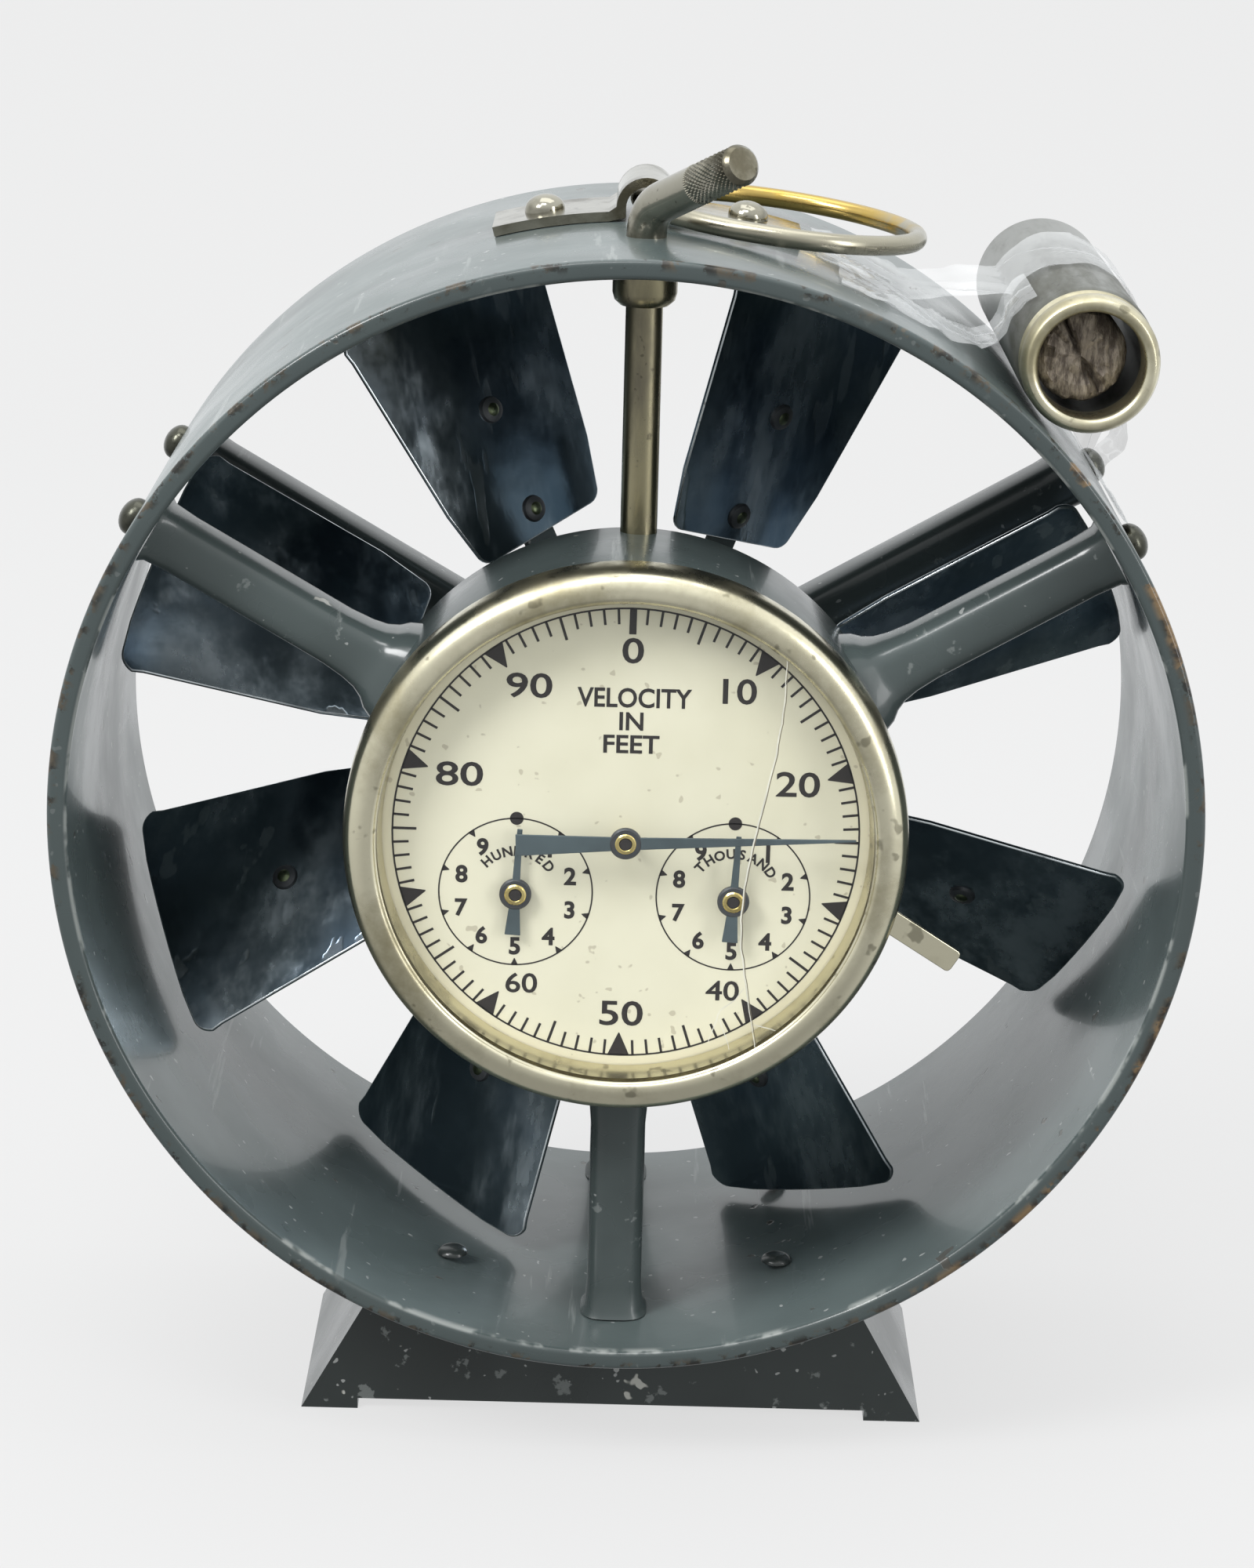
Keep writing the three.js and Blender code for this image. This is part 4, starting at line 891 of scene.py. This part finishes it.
def hanger():
    """The strap over the ring with an arch for the loop, and its two rivets."""
    inner, thick, half = RING_OUTER + 0.08, 0.92, 5.25
    right, left = math.degrees(math.acos(15.2 / 54)), math.degrees(math.acos(-13.9 / 54))
    arch_z, arch_in = 55.35, 1.95
    arch_out = arch_in + thick
    toe = math.degrees(math.acos((HANGER_X + arch_out + 0.7) / 55))
    heel = math.degrees(math.acos((HANGER_X - arch_out - 0.7) / 55))
    lower = arc(0, 0, inner, right, toe, 10) + [(HANGER_X + arch_in, inner + 0.3)]
    lower += arc(HANGER_X, arch_z, arch_in, 0, 180, 16)
    lower += [(HANGER_X - arch_in, inner + 0.3)] + arc(0, 0, inner, heel, left, 10)
    upper = arc(0, 0, inner + thick, left, heel, 10) + [(HANGER_X - arch_out, inner + thick + 0.4)]
    upper += arc(HANGER_X, arch_z, arch_out, 180, 0, 16)
    upper += [(HANGER_X + arch_out, inner + thick + 0.4)] + arc(0, 0, inner + thick, toe, right, 10)
    rows = []
    for y in (-half, half):
        rows.append([(x, HANGER_Y + y, z) for x, z in lower + upper])
    made = piece("hanger_strap", skin(rows[::-1]), "nickel", ["hanger_bracket"])
    soften(made, 0.22, 3)
    for side, name in ((-1, "left"), (1, "right")):
        angle = math.degrees(math.acos((HANGER_X + side * 9.7) / 54.5))
        seat = [(ON_AXIS, 54.9), (1.95, 54.9)]
        head = turned(seat + dome_profile(1.95, 1.45, 55.1)[1:], 48)
        head = turn_radial(head, angle, HANGER_Y)
        piece(f"strap_rivet_{name}", head, "nickel", [f"hanger_rivet_{name}"])


def loop_ring():
    """The hanging ring at rest, lying over to the right on its strap."""
    pivot_x, pivot_z, reach, count, sides = 0.4, 55.6, 12.97, 160, 20
    rows = []
    droop = radians(LOOP_DROOP)
    for t in around(count):
        row = []
        for a in around(sides):
            r = LOOP_RADIUS + LOOP_WIRE * cos(a)
            x, y, z = reach + r * cos(t), r * sin(t), LOOP_WIRE * sin(a)
            row.append((pivot_x + x * cos(droop) + z * sin(droop), HANGER_Y + y,
                        pivot_z - x * sin(droop) + z * cos(droop)))
        rows.append(row)
    piece("loop_wire", skin(rows, closed_rows=True), "loop", ["hanging_ring"], "loop")


# ---- ferrule, stub and tape ----
def ferrule():
    """The grey tube and the turned bright collar at its mouth."""
    centre = (FERRULE_X, FERRULE_Z)
    profile = [(5.3, 6.2), (6.1, 6.2), (6.35, 6.6), (FERRULE_RADIUS, 7.3)]
    profile += arc(FERRULE_RADIUS - 0.8, 51.2, 0.8, 0, 90, 5) + [(5.3, 52)]
    piece("ferrule_tube", turned(profile, 96, centre, True), "grey", ["handle_ferrule"])
    lip = [(4.9, 2.75), (4.94, 2.45)] + arc(5.55, 2.8, 0.72, 200, 300, 8)
    lip += [(6.12, 2.5), (6.32, 3.0), (6.35, 3.9)]
    lip += [(6.25, 4.4), (5.95, 4.75), (5.9, 5.3), (6.2, 5.7), (6.3, 6.05), (4.9, 6.05)]
    shape = turned(lip, 96, centre, True)
    piece("ferrule_lip", shape, "bezel", ["ferrule_collar"], sharp=60)


def broken_stub():
    """Handle end snapped off inside the ferrule, split down the middle."""
    cx, cz = FERRULE_X - 0.5, FERRULE_Z + 0.1
    rows = []
    count = 72
    stations = [  # share of the radius, and depth
        (0.0, 6.4), (0.2, 6.3), (0.4, 6.1), (0.6, 6.1), (0.8, 6.4), (0.93, 7.0), (1.0, 7.9),
        (1.0, 30), (1.0, 48.9), (0.0, 49),
    ]
    for share, y in stations:
        row = []
        for k in range(count):
            angle = -k * TAU / count
            r = STUB_RADIUS * max(share, 0.002)
            x, z = r * cos(angle), r * sin(angle)
            rough = 0.0
            if y < STUB_BREAK:
                rough = 0.9 * noise.noise(Vector((x * 0.9, z * 0.9, 3)))
                rough += 0.5 * noise.noise(Vector((x * 3 + z, z * 1.2, 8)))
                split = abs(x * 0.87 + z * 0.5 - 0.5 * noise.noise(Vector((x, z, 1))))
                rough += 2.2 * max(0.0, 1 - split / 0.5) * (1 if share < 0.9 else 0.3)
            row.append((cx + x, y + rough * min(1.0, share * 4 + 0.3), cz + z))
        rows.append(row)
    piece("stub_wood", skin(rows), "wood", ["handle_stub"])


def film(name, line, front, back, crumple, seed, nodes=()):
    """Crumpled clear film along a line in X and Z, from one Y to another, lifting to its left."""
    step, across = 0.6, 30
    fine = []
    for (x0, z0), (x1, z1) in zip(line, line[1:]):
        steps = max(1, round(math.dist((x0, z0), (x1, z1)) / step))
        fine += [(lerp(x0, x1, s / steps), lerp(z0, z1, s / steps)) for s in range(steps)]
    verts, faces = [], []
    for i, (x, z) in enumerate(fine):
        ahead, behind = fine[min(i + 1, len(fine) - 1)], fine[max(i - 1, 0)]
        along = Vector((ahead[0] - behind[0], ahead[1] - behind[1])).normalized()
        for j in range(across):
            share = j / (across - 1)
            y = lerp(front, back, share) + 1.2 * noise.noise(Vector((i * 0.06, j * 0.02, seed)))
            fold = noise.noise(Vector((x * 0.24, y * 0.16, z * 0.24 + seed)))
            crease = 1 - abs(noise.noise(Vector((x * 0.17 + y * 0.15 + 9, y * 0.07, z * 0.17 + seed))))
            lift = 0.06 + crumple * (0.55 * max(0, fold) + 1.8 * max(0, crease - 0.8))
            verts.append((x - along.y * lift, y, z + along.x * lift))
    for i in range(len(fine) - 1):
        for j in range(across - 1):
            a = i * across + j
            faces.append((a, a + 1, a + across + 1, a + across))
    piece(name, (verts, faces), "tape", nodes, sharp=50)


def on_ring(first, last, step, stand=0.15):
    """A line along the outside of the ring, standing off it a little."""
    points = (polar(RING_OUTER + stand, a) for a in range(first, last, step))
    return [(x, z) for x, _, z in points]


def tape():
    """Film wrapped over the ferrule, a fold hanging in front of it and a loose roll below."""
    wrap = (polar(FERRULE_RADIUS + 0.16, a) for a in range(150, -22, -6))
    band = [(FERRULE_X + x, FERRULE_Z + z) for x, _, z in wrap]
    line = on_ring(72, 61, -2) + band + on_ring(37, 28, -2)
    film("tape_film", line, 19.5, 38.5, 1.0, 4, ["holding_tape"])
    bowl = [(31.6, 45.0), (33.2, 45.5), (34.2, 46.7), (34.6, 48.1), (35.6, 49.5), (37.0, 50.6)]
    film("tape_fold", on_ring(70, 56, -2) + bowl, 8.5, 20.5, 1.2, 11)
    roll = [(44.6, 39.8), (45.7, 38.2), (46.0, 36.6), (45.3, 35.1), (44.2, 34.2)]
    film("tape_roll", roll + on_ring(37, 28, -2, 0.25), 12.0, 22.0, 0.8, 17)


# ---- start lever, base and small screws ----
def run_lever():
    """A flat strip with a rounded end, out through the side of the case."""
    angle = radians(-32.3)
    edge = [(4.0, 1.15), (12.1, 1.15), (12.4, 1.02), (12.5, 0.7)]
    strip = [(x, -z) for x, z in edge] + edge[::-1]
    c, s = cos(angle), sin(angle)
    outline = [(21 + x * c - z * s, -5.9 + x * s + z * c) for x, z in strip]
    shape = slab(outline, 3.2, 0.6)
    made = piece("run_strip", shape, "bezel", ["start_lever"], "run_lever")
    soften(made, 0.12, 2)


def base():
    """The cast base keeps its CAD shape, with its edges softened, and gets four screw heads."""
    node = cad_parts["base_bracket"]
    node.data.materials.clear()
    node.data.materials.append(M["base"])
    for polygon in node.data.polygons:
        polygon.use_smooth = True
    node.data.set_sharp_from_angle(angle=radians(25))
    soften(node, 0.45, 3, 30)
    places = [(x, y) for x in BASE_SCREW_X for y in BASE_SCREW_Y]
    for i, (x, y) in enumerate(places, 1):
        surface = -math.sqrt(RING_INNER ** 2 - x ** 2)
        head = turned(dome_profile(1.55, 0.8, surface + 0.55), 32, (x, y), False, "z")
        piece(f"base_screw_head_{i}", head, "base", [f"base_screw_{i}"])


duct_ring()
case_and_spokes()
spoke_screws()
bezel_and_glass()
glass_crack()
dial()
hands()
vanes()
wheel_hub()
reset_tube()
bent_lever()
hanger()
loop_ring()
ferrule()
broken_stub()
tape()
run_lever()
base()

# ---- the inner pieces keep their CAD shape and take metal finishes ----
INNER = {
    "movement": [
        "front_plate", "bridge_plate", "back_plate", "plate_pillar_1", "plate_pillar_2",
        "plate_pillar_3", "front_shaft_bush", "cross_arbor", "second_arbor", "centre_arbor",
        "idler_arbor_a", "hundreds_arbor", "idler_arbor_b", "thousands_arbor",
    ],
    "steel": ["rear_bearing_screw", "vane_shaft", "lever_pivot_screw", "lever_spring", "reset_spring"],
}
for finish_name, names in INNER.items():
    for node_name in names:
        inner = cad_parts[node_name]
        inner.data.materials.clear()
        inner.data.materials.append(M[finish_name])
        inner.data.set_sharp_from_angle(angle=radians(30))


# ---- stage: pale floor that sweeps up behind, soft light, camera ----
SKY_LOW = 0.4  # strength from straight below
SKY_RAMPS = [  # axis, where the rise starts and ends along it, strength that it adds
    (2, -0.6, -0.05, 0.28), (2, 0.1, 0.8, 0.65), (1, 0.1, 0.9, 0.35),
    (0, -0.2, -1.0, 0.2), (0, 0.3, 1.0, 0.3),
]
FLOOR_HALF, FLOOR_END, BEND, WALL_TOP = 5, 0.45, 0.3, 1.8  # metres


def sweep():
    """Pale floor that bends up into a wall and doesn't light the object."""
    profile = [(-FLOOR_HALF, 0), (FLOOR_END, 0)]
    for degrees in range(10, 91, 10):
        angle = radians(degrees)
        profile.append((FLOOR_END + BEND * sin(angle), BEND - BEND * cos(angle)))
    profile.append((FLOOR_END + BEND, WALL_TOP))
    verts = [(x, y, z) for y, z in profile for x in (-FLOOR_HALF, FLOOR_HALF)]
    faces = [(2 * i, 2 * i + 1, 2 * i + 3, 2 * i + 2) for i in range(len(profile) - 1)]
    mesh = bpy.data.meshes.new("pale_sweep")
    mesh.from_pydata(verts, [], faces)
    for polygon in mesh.polygons:
        polygon.use_smooth = True
    paint = Paint("pale_floor", (0.1, 0.1, 0.1), 0.95)
    paint.set("Specular IOR Level", 0.0)
    paint.set("Emission Color", (1, 1, 1, 1))
    paint.set("Emission Strength", 0.68)
    mesh.materials.append(paint.material)
    floor = bpy.data.objects.new("pale_sweep", mesh)
    floor.visible_diffuse = False
    floor.visible_glossy = False
    scene.collection.objects.link(floor)


def lamp(name, place, target, size, power):
    """A rectangular area light aimed at a point."""
    light = bpy.data.lights.new(name, "AREA")
    light.shape = "RECTANGLE"
    light.size, light.size_y = size
    light.energy = power
    holder = bpy.data.objects.new(name, light)
    holder.location = place
    aim = Vector(target) - Vector(place)
    holder.rotation_euler = aim.to_track_quat("-Z", "Y").to_euler()
    scene.collection.objects.link(holder)


def studio_world():
    """Pale from above and behind, dimmer from below and from the front."""
    world = bpy.data.worlds.new("studio")
    scene.world = world
    world.use_nodes = True
    tree = world.node_tree
    sky = tree.nodes["Background"]
    sky.inputs["Color"].default_value = (0.97, 0.99, 1.0, 1)
    aim = tree.nodes.new("ShaderNodeTexCoord")
    parts = tree.nodes.new("ShaderNodeSeparateXYZ")
    tree.links.new(aim.outputs["Generated"], parts.inputs[0])
    total = tree.nodes.new("ShaderNodeValue").outputs[0]
    total.default_value = SKY_LOW
    for axis, low, high, strength in SKY_RAMPS:
        ramp = tree.nodes.new("ShaderNodeMapRange")
        ramp.interpolation_type = "SMOOTHSTEP"
        limits = {"From Min": low, "From Max": high, "To Min": 0.0, "To Max": strength}
        for name, number in limits.items():
            ramp.inputs[name].default_value = number
        tree.links.new(parts.outputs[axis], ramp.inputs["Value"])
        add = tree.nodes.new("ShaderNodeMath")
        tree.links.new(total, add.inputs[0])
        tree.links.new(ramp.outputs[0], add.inputs[1])
        total = add.outputs[0]
    tree.links.new(total, sky.inputs["Strength"])


sweep()
studio_world()
lamp("key", (-0.55, -0.5, 0.75), AXIS, (0.3, 0.3), 7.0)
lamp("fill", (0.75, -0.55, 0.3), AXIS, (0.2, 0.6), 2.4)
lamp("top", (0.05, 0.1, 0.95), AXIS, (0.8, 0.5), 2.2)
lamp("window", (-0.15, -0.45, 1.0), AXIS, (0.4, 0.18), 2.6)

camera_data = bpy.data.cameras.new("camera")
camera_data.sensor_fit = "HORIZONTAL"
camera_data.sensor_width = 36
camera_data.lens = CAMERA_LENS
camera_data.clip_start = 0.01
camera = bpy.data.objects.new("camera", camera_data)
camera.matrix_world = (
    Matrix.Translation(at(*CAMERA_PLACE))
    @ Matrix.Rotation(-radians(CAMERA_TURN), 4, "Z")
    @ Matrix.Rotation(radians(90 - CAMERA_DOWN), 4, "X")
    @ Matrix.Rotation(radians(CAMERA_ROLL), 4, "Z")
)
scene.collection.objects.link(camera)
scene.camera = camera
